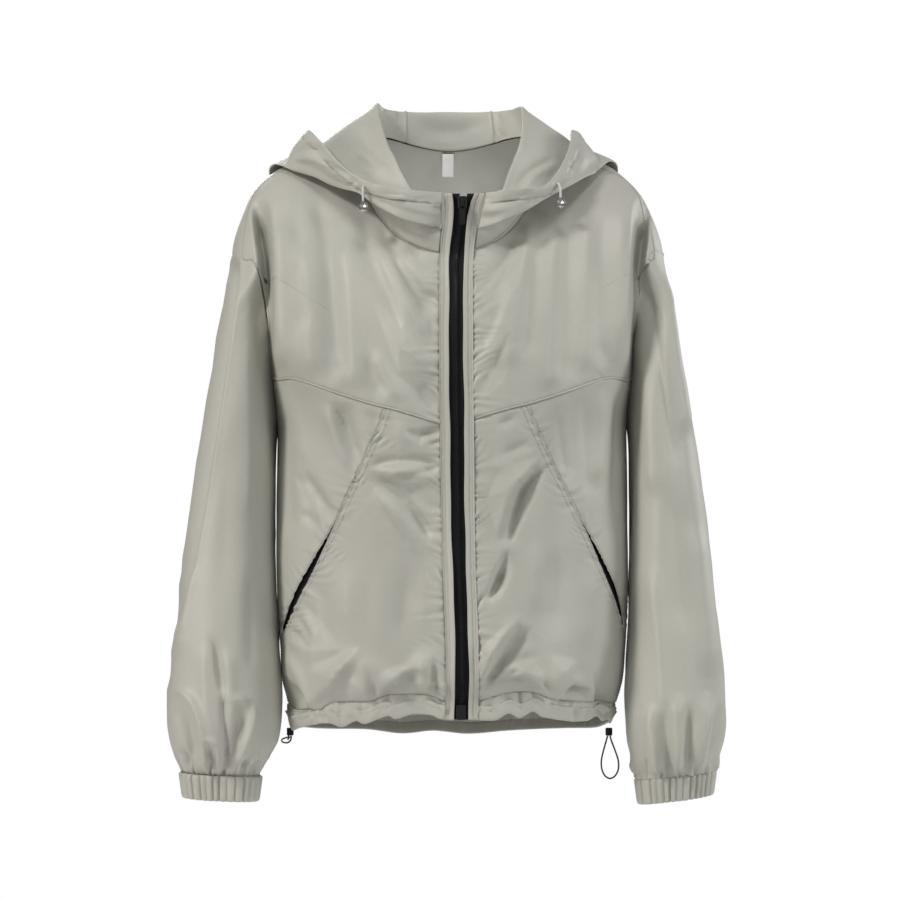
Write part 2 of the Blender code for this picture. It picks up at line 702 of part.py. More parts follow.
# ---------------------------------------------------------------- hood, in mm
# Stations from the placket round to the middle of the back.  The cloth rises from the neck seam to the
# ridge, falls open over the shoulder to the fold, and comes up again outside to its free edge.
Hood = namedtuple("Hood", "angle ridge_x ridge_y ridge_z fold_x fold_y fold_z edge_x edge_y edge_z")
HOOD = {
    "r": [
        Hood(6.9, 9.4, -101, -84, 9.4, -101.5, -86, 8.4, -103, -52),
        Hood(15, 22, -100, -72, 22, -106, -84, 22, -107, -51),
        Hood(27, 40, -94, -48, 46, -112, -79, 44, -112, -49),
        Hood(40, 51, -82, -26, 71, -102, -66, 66, -110, -46),
        Hood(52, 58, -66, -10, 93, -88, -51, 87, -98, -39),
        Hood(64, 65, -46, 4, 118, -62, -42, 107, -82, -26),
        Hood(76, 70, -20, 22, 145, -38, -29, 127, -60, -3),
        Hood(90, 74, 8, 40, 167, -14, -22, 142, -34, 14),
        Hood(104, 76, 34, 51, 177, 14, -24, 148, -4, 20),
        Hood(120, 70, 54, 48, 168, 66, -62, 150, 40, 16),
        Hood(136, 58, 64, 46, 134, 116, -116, 130, 84, 8),
        Hood(150, 47, 70, 45.5, 86, 146, -154, 84, 115, 0),
        Hood(180, 0, 74, 45.5, 0, 158, -172, 0, 128, -6),
    ],
    "l": [
        Hood(15.7, 28.9, -101, -84, 29, -101.5, -86, 36.2, -103, -52),
        Hood(22.5, 40, -98, -72, 42, -107, -84, 46, -107, -51),
        Hood(31, 53, -92, -48, 61, -112, -77, 57, -112, -49),
        Hood(42, 59, -80, -31, 80, -102, -67, 76, -110, -48),
        Hood(53, 65, -65, -16, 101, -88, -54, 96, -98, -44),
        Hood(64, 73, -46, 7, 125, -62, -40, 108, -84, -32),
        Hood(76, 75, -20, 25, 143, -38, -30, 119, -62, -12),
        Hood(90, 75, 8, 41, 155, -14, -23, 124.5, -36, 6),
        Hood(104, 74.5, 34, 48, 163, 14, -20, 127, -4, 20),
        Hood(120, 66, 54, 47, 158, 66, -60, 138, 40, 16),
        Hood(136, 54, 64, 46, 128, 116, -116, 124, 84, 8),
        Hood(150, 43, 70, 45.5, 82, 146, -154, 80, 115, 0),
        Hood(180, 0, 74, 45.5, 0, 158, -172, 0, 128, -6),
    ],
}


def rounded(a, corner, b, reach, parts):
    """Points of a soft turn whose crest is the corner itself, from near a to near b."""
    start = corner + (a - corner) * min(reach / max(np.linalg.norm(a - corner), 1e-6), 0.3)
    end = corner + (b - corner) * min(reach / max(np.linalg.norm(b - corner), 1e-6), 0.3)
    pull = 2 * corner - (start + end) / 2
    shares = [i / parts for i in range(parts + 1)]
    return [start * (1 - t) ** 2 + pull * 2 * t * (1 - t) + end * t * t for t in shares]


def hood_profile(letter, station):
    """The cloth of the hood at one station from the neck seam to the free edge."""
    side = SIDES[letter]
    row = Hood(*smooth_rows(HOOD[letter], station))
    seam = torso_plain(NECK_ROW, side * row.angle)
    seam[:2] = seam[:2] * (1 - STAND_INSET / np.linalg.norm(seam[:2]))
    seam[2] += STAND_LIFT
    ridge = np.array([side * row.ridge_x, row.ridge_y, row.ridge_z])
    fold = np.array([side * row.fold_x, row.fold_y, row.fold_z])
    edge = np.array([side * row.edge_x, row.edge_y, row.edge_z])
    outward = np.array([fold[0], fold[1], 0.0]) / max(math.hypot(fold[0], fold[1]), 1e-6)
    turn = rounded(seam, ridge, fold, RIDGE_ROUND, RIDGE_PARTS)
    under = rounded(ridge, fold, edge, FOLD_ROUND, FOLD_PARTS)
    belly = OUTER_BELLY * min(np.linalg.norm(edge - fold) / 120, 1.0)
    stand = straight(seam, turn[0], STAND_PARTS)
    inner = straight(turn[-1], under[0], INNER_PARTS)
    outer = straight(under[-1], edge, OUTER_PARTS, outward * belly)
    lying = inner[1:] + under[1:] + outer[1:]
    return stand + turn[1:] + [lifted_clear(point) for point in lying]


def straight(a, b, parts, bulge=0.0):
    """Points from a to b, curved outward by bulge at the middle."""
    shares = [i / parts for i in range(parts + 1)]
    return [a + (b - a) * t + bulge * math.sin(math.pi * t) for t in shares]


def shoulder_samples():
    """Places and outward directions over the shoulders and upper back, for laying the hood on them."""
    tree = kdtree.KDTree(SAMPLE_ROWS * SAMPLE_ANGLES)
    normals = []
    for i in range(SAMPLE_ROWS):
        for j in range(SAMPLE_ANGLES):
            pair = (7.0 * i / (SAMPLE_ROWS - 1), 360.0 * j / SAMPLE_ANGLES - 180.0)
            tree.insert(Vector(torso_plain(*pair)), len(normals))
            normals.append(Vector(torso_normal(*pair)))
    tree.balance()
    return tree, normals


SHOULDER_TREE, SHOULDER_NORMALS = shoulder_samples()


def lifted_clear(point):
    """The point, moved out along the torso's own direction where it would touch the torso."""
    moved = Vector(point)
    for _ in range(3):
        nearest, index, _ = SHOULDER_TREE.find(moved)
        height = (moved - nearest).dot(SHOULDER_NORMALS[index])
        if height < REST_CLEAR:
            moved += SHOULDER_NORMALS[index] * (REST_CLEAR - height)
    return np.array(moved)


def hood_station(letter, station):
    """Stations past the middle of the back continue on the other side."""
    last = len(HOOD[letter]) - 1
    if station > last:
        return hood_profile("l" if letter == "r" else "r", 2 * last - station)
    return hood_profile(letter, station)


def hood_normals(letter, station):
    """Direction of the wall along one station, shared by the panels that meet there."""
    before = np.array(hood_station(letter, max(station - 0.15, 0.0)))
    after = np.array(hood_station(letter, station + 0.15))
    here = np.array(hood_station(letter, station))
    normals = []
    for k in range(len(here)):
        along = here[min(k + 1, len(here) - 1)] - here[max(k - 1, 0)]
        normal = np.cross(after[k] - before[k], along)
        normals.append(normal / np.linalg.norm(normal))
    return normals


def hood_wall(name, letter, stations):
    grid = [hood_station(letter, station) for station in stations]
    normals = [hood_normals(letter, station) for station in stations]
    wall(name, grid, shell_cloth(), gap=HOOD_SEAM_GAP, normals=normals)


def hood_panels():
    for letter in SIDES:
        stations = list(range(7)) + [7 + i / 2 for i in range(2 * (CENTRE_STATION - 7) + 1)]
        hood_wall("hood_side_" + letter, letter, stations)
    steps = [0, 0.34, 0.67, 1, 1.33, 1.66, 2]
    hood_wall("hood_centre", "r", [CENTRE_STATION + step for step in steps])


# ---------------------------------------------------------------- zips


def block(name, centre, size, finish, bevel):
    """A box of the given size in mm with rounded edges."""
    solid = bmesh.new()
    bmesh.ops.create_cube(solid, size=1.0)
    for vertex in solid.verts:
        vertex.co = Vector([c * MM + v * d * MM for c, v, d in zip(centre, vertex.co, size)])
    bmesh.ops.bevel(solid, geom=solid.edges[:], offset=bevel * MM, segments=2, profile=0.5, affect="EDGES")
    mesh = bpy.data.meshes.new(name)
    solid.to_mesh(mesh)
    solid.free()
    return keep(name, mesh, finish)


def tape(letter):
    """One woven zip tape from behind the placket to the middle, where the teeth of both sides meet."""
    side = SIDES[letter]
    grid = []
    for z in zip_stretch(ZIP_TOP, ZIP_LOW_Z):
        middle, half, depth = zip_line(z)
        parting = 0.2 + 3.6 * ease((z - NOTCH_Z) / 8.0)
        inner, outer = middle + side * parting, middle + side * (half + SEAM_UNDER)
        grid.append([np.array([inner + (outer - inner) * k / 2, depth + TAPE_DEPTH, z]) for k in range(3)])
    wall("zip_tape_" + letter, grid, zip_black(), TAPE)


def chain():
    """The closed rows of teeth as one bar on the tapes, from the slider to the box."""
    grid = []
    lift = TAPE_DEPTH - TAPE / 2 - 2 * SEAM_GAP - CHAIN_THICK / 2
    for z in zip_stretch(CHAIN_TOP_Z, CHAIN_BOTTOM_Z):
        middle, _, depth = zip_line(z)
        grid.append([np.array([middle + CHAIN_WIDTH * (k / 2 - 0.5), depth + lift, z]) for k in range(3)])
    wall("zip_chain", grid, zip_black(), CHAIN_THICK)


def slider_place():
    """Middle of the slider's body: x, y and z in mm, with its front face."""
    z = SLIDER_TOP_Z - SLIDER_SIZE[2] / 2
    middle, _, depth = zip_line(z)
    y = depth + TAPE_DEPTH - TAPE / 2 - SEAM_GAP - SLIDER_SIZE[1] / 2 - SLOPE_ROOM
    return middle, y, z


def cut(body, cutter, operation="DIFFERENCE"):
    """Joins a helper solid to a body, or takes it away, and hides the helper."""
    modifier = body.modifiers.new(cutter.name, "BOOLEAN")
    modifier.operation = operation
    modifier.solver = "EXACT"
    modifier.object = cutter
    cutter.hide_render = True
    cutter.display_type = "WIRE"


def slider_and_pull():
    """The slider with the arch that carries the pull tab, and the tab hanging from it."""
    x, y, z = slider_place()
    front = y - SLIDER_SIZE[1] / 2
    hinge_z = z + PULL_HINGE_UP
    body = block("zip_slider", (x, y, z), SLIDER_SIZE, zip_black(), 1.2)
    arch = block("arch", (x, front - BRIDGE_SIZE[1] / 2 + 0.6, hinge_z), BRIDGE_SIZE, zip_black(), 0.4)
    cut(body, arch, "UNION")
    cut(body, block("arch_hole", (x, front - PULL_OUT, hinge_z), BRIDGE_HOLE, zip_black(), 0.2))
    hinge = bpy.data.objects.new("pull_hinge", None)
    hinge.location = Vector((x, front - PULL_OUT, hinge_z)) * MM
    bpy.context.scene.collection.objects.link(hinge)
    pull_tab(hinge)


def pull_tab(hinge):
    """A flat tapering tab with a slot under its top bar, hanging from the hinge."""
    width, thick, length = PULL_SIZE
    top, low = PULL_BAR / 2, PULL_BAR / 2 - length
    half = [(0.42, top), (0.5, top - 1.0), (0.5, -8.0), (0.40, low + 1.2), (0.28, low)]
    outline = [(width * k, z) for k, z in half] + [(-width * k, z) for k, z in reversed(half)]
    solid = bmesh.new()
    face = solid.faces.new([solid.verts.new(Vector((x, -thick / 2, z)) * MM) for x, z in outline])
    pushed = bmesh.ops.extrude_face_region(solid, geom=[face])
    moved = [g for g in pushed["geom"] if isinstance(g, bmesh.types.BMVert)]
    bmesh.ops.translate(solid, verts=moved, vec=Vector((0, thick, 0)) * MM)
    bmesh.ops.recalc_face_normals(solid, faces=solid.faces[:])
    mesh = bpy.data.meshes.new("zip_pull")
    solid.to_mesh(mesh)
    solid.free()
    tab = keep("zip_pull", mesh, zip_black())
    slot = block("pull_slot", (0, 0, -PULL_BAR / 2 - PULL_SLOT[2] / 2), PULL_SLOT, zip_black(), 0.3)
    cut(tab, slot)
    tab.parent = hinge
    slot.parent = hinge


def zip_box():
    z = CHAIN_BOTTOM_Z - SEAM_GAP - 0.4 - BOX_SIZE[2] / 2
    middle, _, depth = zip_line(z)
    y = depth + TAPE_DEPTH - TAPE / 2 - SEAM_GAP - BOX_SIZE[1] / 2 - SLOPE_ROOM
    block("zip_box", (middle, y, z), BOX_SIZE, zip_black(), 0.8)


# ---------------------------------------------------------------- pocket zips


def pocket_zip(letter, seams):
    """A narrow black strip behind the slanting mouth, following the pocket seam."""
    path = seams.pocket[3:]
    places = [torso(*pair) for pair in path]
    grid = []
    for i, pair in enumerate(path):
        normal = torso_normal(*pair)
        along = places[min(i + 1, len(places) - 1)] - places[max(i - 1, 0)]
        across = np.cross(normal, along)
        across = across / np.linalg.norm(across)
        middle = places[i] - normal * MOUTH_BACK
        grid.append([middle + across * MOUTH_HALF * k for k in (-1, 0, 1)])
    wall("pocket_zip_" + letter, grid, zip_black(), 1.0)


# ---------------------------------------------------------------- cords and small hard pieces, in mm
HOOD_CORD = {
    "r": [(-86, -86, -41), (-86.5, -91, -42), (-87.5, -96.5, -44), (-88, -101.5, -46.5),
          (-88.2, -104.5, -50), (-88.1, -105.5, -55), (-88, -105.7, -60.2)],
    "l": [(104.6, -81, -39), (106.6, -83, -39.4), (108.9, -85.4, -40.2), (111, -88.3, -42.5),
          (112, -90.2, -46), (112.3, -90.9, -50.5), (112.4, -91, -55.5)],
}
HOOD_BALL = {"r": (-88, -105.7, -66.2), "l": (112.4, -91, -61.5)}
SLOT = {"r": (-87.6, -96.5, -44), "l": (108.9, -85, -40)}
HEM_TOGGLE = {"r": (-166, -4, -604.5), "l": (165, -6, -604.5)}
HEM_CORD = {
    "r": [(-165, -4, -608.9), (-165.5, -3.5, -613.2), (-168.6, 1.5, -616.4), (-173, 10, -617),
          (-175.4, 20, -616.6), (-176.4, 32, -615.8), (-175, 42, -615.2), (-171.6, 45.5, -614.4),
          (-168.6, 40, -613.4), (-168.2, 28, -612.8), (-168.4, 15, -612.8), (-168.6, 5, -613),
          (-168.2, -1.2, -612.4), (-167.6, -4, -608.9)],
    "l": [(163.7, -6, -608.9), (162.2, -6, -614), (159.4, -6.5, -624), (157.2, -7, -634), (157.6, -7, -643),
          (160.8, -7, -650), (166.2, -7, -653), (171.6, -7, -650), (174.8, -7, -643), (174.6, -7, -634),
          (171.4, -6.5, -624), (167.6, -6, -614), (166.3, -6, -608.9)],
}


def tube(name, points, diameter, finish):
    """A cord as a round tube on a smooth curve through the given mm points, with a filled end each way."""
    length = sum(math.dist(a, b) for a, b in zip(points, points[1:]))
    count = min(max(int(length / (diameter * 2.2)), 8), 78)
    smooth = sample(points, count)
    curve = bpy.data.curves.new(name, "CURVE")
    curve.dimensions = "3D"
    curve.bevel_depth = diameter / 2 * MM
    curve.bevel_resolution = 2
    curve.use_fill_caps = True
    spline = curve.splines.new("POLY")
    spline.points.add(len(smooth) - 1)
    for place, point in zip(spline.points, smooth):
        place.co = (*(point * MM), 1.0)
    return keep(name, curve, finish)


def ball(name, centre, radius, finish):
    """A faceted bead."""
    solid = bmesh.new()
    bmesh.ops.create_icosphere(solid, subdivisions=2, radius=radius * MM)
    bmesh.ops.translate(solid, verts=solid.verts[:], vec=Vector(centre) * MM)
    mesh = bpy.data.meshes.new(name)
    solid.to_mesh(mesh)
    solid.free()
    return keep(name, mesh, finish)


def toggle(name, centre):
    """A small barrel that grips the hem cord."""
    solid = bmesh.new()
    bmesh.ops.create_cone(solid, cap_ends=True, segments=16, radius1=TOGGLE_RADIUS * MM,
                          radius2=TOGGLE_RADIUS * MM, depth=TOGGLE_HEIGHT * MM)
    rims = [edge for edge in solid.edges if abs(edge.verts[0].co.z - edge.verts[1].co.z) < 1e-6]
    bmesh.ops.bevel(solid, geom=rims, offset=0.8 * MM, segments=2, profile=0.5, affect="EDGES")
    bmesh.ops.translate(solid, verts=solid.verts[:], vec=Vector(centre) * MM)
    mesh = bpy.data.meshes.new(name)
    solid.to_mesh(mesh)
    solid.free()
    return keep(name, mesh, zip_black())


def cut_slot(letter):
    """The worked slot in the outer wall of the hood, through which its cord comes."""
    cutter = block("slot_" + letter, SLOT[letter], SLOT_SIZE, shell_cloth(), 0.5)
    cut(bpy.data.objects["hood_side_" + letter], cutter)


def trims():
    pearl = material("silver_bead", (0.62, 0.62, 0.60), 0.25, 0.9)
    white_cord = material("hood_cord", (0.66, 0.66, 0.64), 0.6)
    dark_cord = material("hem_cord", (0.05, 0.05, 0.05), 0.6)
    for letter in SIDES:
        cut_slot(letter)
        tube("hood_cord_" + letter, HOOD_CORD[letter], HOOD_CORD_DIAMETER, white_cord)
        ball("hood_ball_" + letter, HOOD_BALL[letter], BALL_RADIUS, pearl)
        tube("hem_cord_" + letter, HEM_CORD[letter], HEM_CORD_DIAMETER, dark_cord)
        toggle("hem_toggle_" + letter, HEM_TOGGLE[letter])
    block("neck_label", LABEL_PLACE, LABEL_SIZE, material("label_white", (0.8, 0.8, 0.78), 0.8), 0.2)


def build():
    remove_everything()
    seams = {letter: Seams(side) for letter, side in SIDES.items()}
    for letter, side in SIDES.items():
        front_panels(letter, side, seams[letter])
        sleeve_and_cuff(letter, seams[letter])
    back_panel(seams)
    hem_casings()
    plackets()
    hood_panels()
    for letter in SIDES:
        tape(letter)
        pocket_zip(letter, seams[letter])
    chain()
    slider_and_pull()
    zip_box()
    trims()


build()
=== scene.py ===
"""Hooded sun protection jacket: its finished cloth, zip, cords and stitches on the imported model.

The front faces -Y and the wearer's left is +X.  Each section works in millimetres, in the frame of the
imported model, and turns them into metres when it makes its mesh.
"""
import math
from collections import namedtuple

import bpy
import bmesh
import numpy as np
from mathutils import Matrix, Vector
from mathutils.kdtree import KDTree


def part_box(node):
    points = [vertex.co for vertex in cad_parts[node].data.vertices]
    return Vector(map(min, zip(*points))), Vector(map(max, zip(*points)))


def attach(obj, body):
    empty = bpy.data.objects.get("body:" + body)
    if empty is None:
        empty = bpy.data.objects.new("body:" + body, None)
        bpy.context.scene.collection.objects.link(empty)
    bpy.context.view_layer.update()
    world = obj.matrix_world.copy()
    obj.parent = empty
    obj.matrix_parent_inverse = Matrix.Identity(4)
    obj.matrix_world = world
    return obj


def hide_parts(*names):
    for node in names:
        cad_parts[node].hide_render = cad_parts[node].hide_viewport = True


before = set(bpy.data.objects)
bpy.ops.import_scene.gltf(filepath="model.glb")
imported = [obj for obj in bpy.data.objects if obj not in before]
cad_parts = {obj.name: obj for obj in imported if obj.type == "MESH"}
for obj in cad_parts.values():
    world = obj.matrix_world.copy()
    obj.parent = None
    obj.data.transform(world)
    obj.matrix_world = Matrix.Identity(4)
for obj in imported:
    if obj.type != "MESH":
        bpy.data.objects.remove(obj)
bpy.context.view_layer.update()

# ---------------------------------------------------------------- camera
# A long lens level with the chest, as for a catalogue picture of a jacket on a hidden form.
CAMERA_DISTANCE = 4000.0        # mm before the middle of the jacket
CAMERA_HEIGHT = -312.0
FRAME_PIXELS = 900
PIXEL = 1.04                    # mm of the jacket's middle plane in one pixel
MM = 0.001

lens = bpy.data.cameras.new("camera")
lens.sensor_width = 36.0
lens.lens = lens.sensor_width * CAMERA_DISTANCE / (PIXEL * FRAME_PIXELS)


def linked(name, data):
    """A new object of the scene, at the origin."""
    made = bpy.data.objects.new(name, data)
    bpy.context.scene.collection.objects.link(made)
    return made


camera = linked("camera", lens)
camera.location = (0.0, -CAMERA_DISTANCE * MM, CAMERA_HEIGHT * MM)
camera.rotation_euler = (math.radians(90), 0.0, 0.0)
bpy.context.scene.camera = camera


def seen_at(points):
    """Where mm points show in the picture, as columns and rows in pixels."""
    points = np.asarray(points, float)
    scale = PIXEL * (1 + points[..., 1] / CAMERA_DISTANCE)
    middle = FRAME_PIXELS / 2
    return middle + points[..., 0] / scale, middle - (points[..., 2] - CAMERA_HEIGHT) / scale


# ---------------------------------------------------------------- hood drawcord ends
# Thin round elastic cord, whitish, that leaves the hood's face channel through a worked slot on each
# side.  It is knotted inside a faceted silvery bead.  The hem has a finer black one with a cord lock.
HOOD_CORD_ACROSS = 2.4
HEM_CORD_ACROSS = 1.8
HOOD_CORD = {
    "r": [
        (-104, -75.5, -41), (-98.5, -80.5, -41.5), (-93.5, -86, -43.5), (-89.5, -90, -44.8),
        (-87.6, -93.5, -44.6), (-87.5, -96.5, -44), (-88, -101.5, -46.5), (-88.2, -104.5, -50),
        (-88.1, -105.5, -55), (-88, -105.7, -60.2),
    ],
    "l": [
        (122, -62, -34.5), (118, -66, -36.5), (113.5, -72, -40.5), (110, -77.5, -41), (108.6, -81, -40.6),
        (108.9, -85.4, -40.2), (111, -88.3, -42.5), (112, -90.2, -46), (112.3, -90.9, -50.5),
        (112.4, -91, -55.5),
    ],
}
HEM_CORD = {
    "r": [
        (-165, -4, -608.9), (-165.5, -3.5, -613.2), (-168.6, 1.5, -616.4), (-173, 10, -617),
        (-175.4, 20, -616.6), (-176.4, 32, -615.8), (-175, 42, -615.2), (-171.6, 45.5, -614.4),
        (-168.6, 40, -613.4), (-168.2, 28, -612.8), (-168.4, 15, -612.8), (-168.6, 5, -613),
        (-168.2, -1.2, -612.4), (-167.6, -4, -608.9),
    ],
    "l": [
        (163.7, -6, -608.9), (162.2, -6, -614), (159.4, -6.5, -624), (157.2, -7, -634), (157.6, -7, -643),
        (160.8, -7, -650), (166.2, -7, -653), (171.6, -7, -650), (174.8, -7, -643), (174.6, -7, -634),
        (171.4, -6.5, -624), (167.6, -6, -614), (166.3, -6, -608.9),
    ],
}


def smooth(rows, t):
    """Values of a table of equal rows at each t, which counts rows, along smooth curves through them."""
    rows = np.asarray(rows, float)
    last = len(rows) - 1
    t = np.clip(np.asarray(t, float), 0.0, last)
    i = np.minimum(t.astype(int), last - 1)
    f = (t - i)[..., None]
    a, b = rows[np.maximum(i - 1, 0)], rows[i]
    c, d = rows[i + 1], rows[np.minimum(i + 2, last)]
    return b + 0.5 * f * (c - a + f * (2 * a - 5 * b + 4 * c - d + f * (3 * (b - c) + d - a)))


def run_along(points):
    """How far along a line each of its points lies."""
    return np.concatenate([[0.0], np.cumsum(np.linalg.norm(np.diff(points, axis=0), axis=1))])


def even_points(rows, count, place=None):
    """count + 1 rows at even distances along the smooth curve; place turns rows into mm points."""
    fine = smooth(rows, np.linspace(0, len(rows) - 1, 401))
    run = run_along(fine if place is None else place(fine))
    shares = np.linspace(0, run[-1], count + 1) if np.isscalar(count) else np.asarray(count) * run[-1]
    return np.stack([np.interp(shares, run, fine[:, k]) for k in range(fine.shape[1])], axis=1)


class Value:
    """A shader socket that adds Math nodes when it is used in sums."""

    def __init__(self, recipe, socket):
        self.recipe, self.socket = recipe, socket

    def _math(self, operation, *values):
        return self.recipe.node("ShaderNodeMath", {"operation": operation}, dict(enumerate(values)))

    def __add__(self, other):
        return self._math("ADD", self, other)

    def __sub__(self, other):
        return self._math("SUBTRACT", self, other)

    def __mul__(self, other):
        return self._math("MULTIPLY", self, other)

    def sine(self):
        return self._math("SINE", self)

    def within(self, low, high):
        """0 below low and 1 above high, with soft ends."""
        settings = {"interpolation_type": "SMOOTHSTEP"}
        values = {"Value": self, "From Min": low, "From Max": high}
        return self.recipe.node("ShaderNodeMapRange", settings, values)


class Recipe:
    """A material under construction, with one way to add any node."""

    def __init__(self, name, roughness=0.5, metallic=0.0, **fixed):
        self.material = bpy.data.materials.new(name)
        self.material.use_nodes = True
        self.tree = self.material.node_tree
        self.shader = self.tree.nodes["Principled BSDF"]
        self.shader.inputs["Roughness"].default_value = roughness
        self.shader.inputs["Metallic"].default_value = metallic
        for socket, value in fixed.items():
            self.shader.inputs[socket.replace("_", " ")].default_value = value

    def node(self, kind, settings=None, values=None, output=0):
        made = self.tree.nodes.new(kind)
        for key, value in (settings or {}).items():
            setattr(made, key, value)
        for key, value in (values or {}).items():
            if isinstance(value, Value):
                self.tree.links.new(value.socket, made.inputs[key])
            else:
                made.inputs[key].default_value = value
        return Value(self, made.outputs[output])

    def mix(self, share, one, other):
        values = {"Factor": share, 6: one, 7: other}
        return self.node("ShaderNodeMix", {"data_type": "RGBA"}, values, output=2)

    def split(self, vector):
        return [self.node("ShaderNodeSeparateXYZ", None, {0: vector}, output=k) for k in range(3)]

    def place(self):
        return self.node("ShaderNodeTexCoord", output=3)

    def cloth_map(self):
        """Metres along and across the cloth, from the piece's own map."""
        return self.node("ShaderNodeUVMap", {"uv_map": "cloth"})

    def noise(self, vector, scale, detail=2.0, stretch=(1.0, 1.0, 1.0)):
        turned = self.node("ShaderNodeMapping", None, {"Vector": vector, "Scale": stretch})
        return self.node("ShaderNodeTexNoise", None, {"Vector": turned, "Scale": scale, "Detail": detail})

    def bump(self, height, strength, distance, under=None):
        values = {"Height": height, "Strength": strength, "Distance": distance}
        if under is not None:
            values["Normal"] = under
        return self.node("ShaderNodeBump", None, values)

    def finish(self, **sockets):
        for key, value in sockets.items():
            self.tree.links.new(value.socket, self.shader.inputs[key.replace("_", " ")])
        return self.material


def round_cord(name, points, across, material):
    """A cord as one open curve through mm points, with its round thickness."""
    curve = bpy.data.curves.new(name, "CURVE")
    curve.dimensions = "3D"
    curve.bevel_depth = across / 2 * MM
    curve.bevel_resolution = 3
    curve.use_fill_caps = True
    length = np.linalg.norm(np.diff(points, axis=0), axis=1).sum()
    places = even_points(points, int(length / across * 2))
    spline = curve.splines.new("POLY")
    spline.points.add(len(places) - 1)
    for point, place in zip(spline.points, places):
        point.co = (*(place * MM), 1.0)
    curve.materials.append(material)
    real = np.linalg.norm(np.diff(places, axis=0), axis=1).sum()
    return linked(name, curve), float(real * MM)


def braid(name, light, dark):
    """Fine diagonal braiding of an elastic cord."""
    recipe = Recipe(name, roughness=0.62, Sheen_Weight=0.15)
    x, y, z = recipe.split(recipe.place())
    turns = ((z + x) * 5200.0).sine() * ((z - x + y) * 5200.0).sine()
    strands = (turns * 0.5 + 0.5).within(0.2, 0.8)
    colour = recipe.mix(strands, (*dark, 1.0), (*light, 1.0))
    return recipe.finish(Base_Color=colour, Normal=recipe.bump(strands, 0.35, 0.0002))


def bead_metal():
    """Polished silvery metal with faint haze."""
    recipe = Recipe("silver_bead", metallic=1.0)
    cloud = recipe.noise(recipe.place(), 420.0, 3.0)
    colour = recipe.mix(cloud, (0.52, 0.52, 0.51, 1.0), (0.82, 0.82, 0.80, 1.0))
    return recipe.finish(Base_Color=colour, Roughness=cloud * 0.16 + 0.1)


def black_plastic(name, shine):
    """Black moulded plastic with a fine grain."""
    recipe = Recipe(name, Specular_IOR_Level=0.3)
    grain = recipe.noise(recipe.place(), 1500.0, 2.0)
    colour = recipe.mix(grain, (0.005, 0.005, 0.006, 1.0), (0.012, 0.012, 0.013, 1.0))
    surface = recipe.bump(grain, 0.15, 0.0001)
    return recipe.finish(Base_Color=colour, Roughness=grain * 0.2 + shine, Normal=surface)


white_braid = braid("hood_cord", (0.72, 0.71, 0.69), (0.42, 0.41, 0.39))
black_braid = braid("hem_cord", (0.05, 0.05, 0.052), (0.012, 0.012, 0.013))
bead_finish = bead_metal()
lock_finish = black_plastic("cord_lock", 0.32)


def settle(made, node):
    """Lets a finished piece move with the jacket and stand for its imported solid."""
    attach(made, "jacket")
    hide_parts(node)


def dress(node, material):
    """Gives a carried-over solid its finish."""
    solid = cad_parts[node]
    solid.data.materials.clear()
    solid.data.materials.append(material)
    return solid


for side in "lr":
    cord, length = round_cord("drawcord_" + side, HOOD_CORD[side], HOOD_CORD_ACROSS, white_braid)
    settle(cord, "hood_cord_" + side)
    bead = dress("hood_ball_" + side, bead_finish)
    loop, length = round_cord("hem_loop_" + side, HEM_CORD[side], HEM_CORD_ACROSS, black_braid)
    settle(loop, "hem_cord_" + side)
    lock = dress("hem_toggle_" + side, lock_finish)

# ---------------------------------------------------------------- body: fronts, side panels and back
# Unlined smooth nylon, cut in a yoke, a side panel and a centre panel on each front and one piece for the
# back, sewn together with the seams turned in and topstitched.  The form is filled out as on a wearer.


def records(kind, *rows):
    """Rows of numbers as records with named columns."""
    return [kind(*row) for row in rows]


# The torso's rings from the neck down: half widths, height of the sides, depth and height of front and back,
# how square the ring is, and how far its back corners rise and its front ones sink.
Ring = namedtuple("Ring", "right left side_z front_y front_z back_y back_z square lift")
TORSO = records(
    Ring,
    (94, 94, -11, -99, -113, 62, 3, 2, 10), (133, 131, -15, -111, -137, 82, -20, 2.1, 7),
    (174, 166, -23, -119, -164, 102, -52, 2.2, 3), (199, 190, -39, -124, -190, 114, -90, 2.3, 0),
    (213, 206, -62, -127, -212, 121, -126, 2.35, 0), (226, 221, -109, -130, -240, 125, -166, 2.4, 0),
    (213, 211, -165, -131, -268, 126, -208, 2.4, 0), (190, 194, -220, -131, -294, 126, -250, 2.4, 0),
    (180, 184, -270, -130, -318, 125, -290, 2.4, 0), (180, 184, -330, -129, -356, 124, -340, 2.4, 0),
    (180, 184, -390, -128, -402, 123, -396, 2.4, 0), (179, 184, -450, -127, -452, 123, -452, 2.4, 0),
    (176, 182, -510, -127, -506, 124, -514, 2.4, 0), (174, 179, -548, -125, -542, 124, -556, 2.4, 0),
    (169, 172, -575, -114, -565, 114, -590, 2.4, 0), (166, 167, -596, -113, -585, 112, -613, 2.4, 0),
)
NECK_ROW, ARMPIT_ROW, POCKET_LOW_ROW, POCKET_SIDE_ROW = 0.0, 8.0, 12.0, 12.4
CASING_ROW, HEM_ROW = len(TORSO) - 2.0, len(TORSO) - 1.0
SIDES = {"l": 1.0, "r": -1.0}
# The long fold before each armhole: height, middle on the right and left, and half width.
Trough = namedtuple("Trough", "z right left half")
TROUGH = records(
    Trough,
    (-40, 197, 198, 3), (-60, 195, 197.5, 8), (-83, 192, 196, 8.5), (-114, 188, 192.5, 7.5),
    (-156, 185.5, 190.5, 7), (-200, 184.5, 190, 7), (-262, 183, 189, 6), (-300, 183, 189, 5),
)
TROUGH_DEPTH, TROUGH_TOP, TROUGH_FULL, TROUGH_END = 30.0, -46.0, -80.0, -250.0
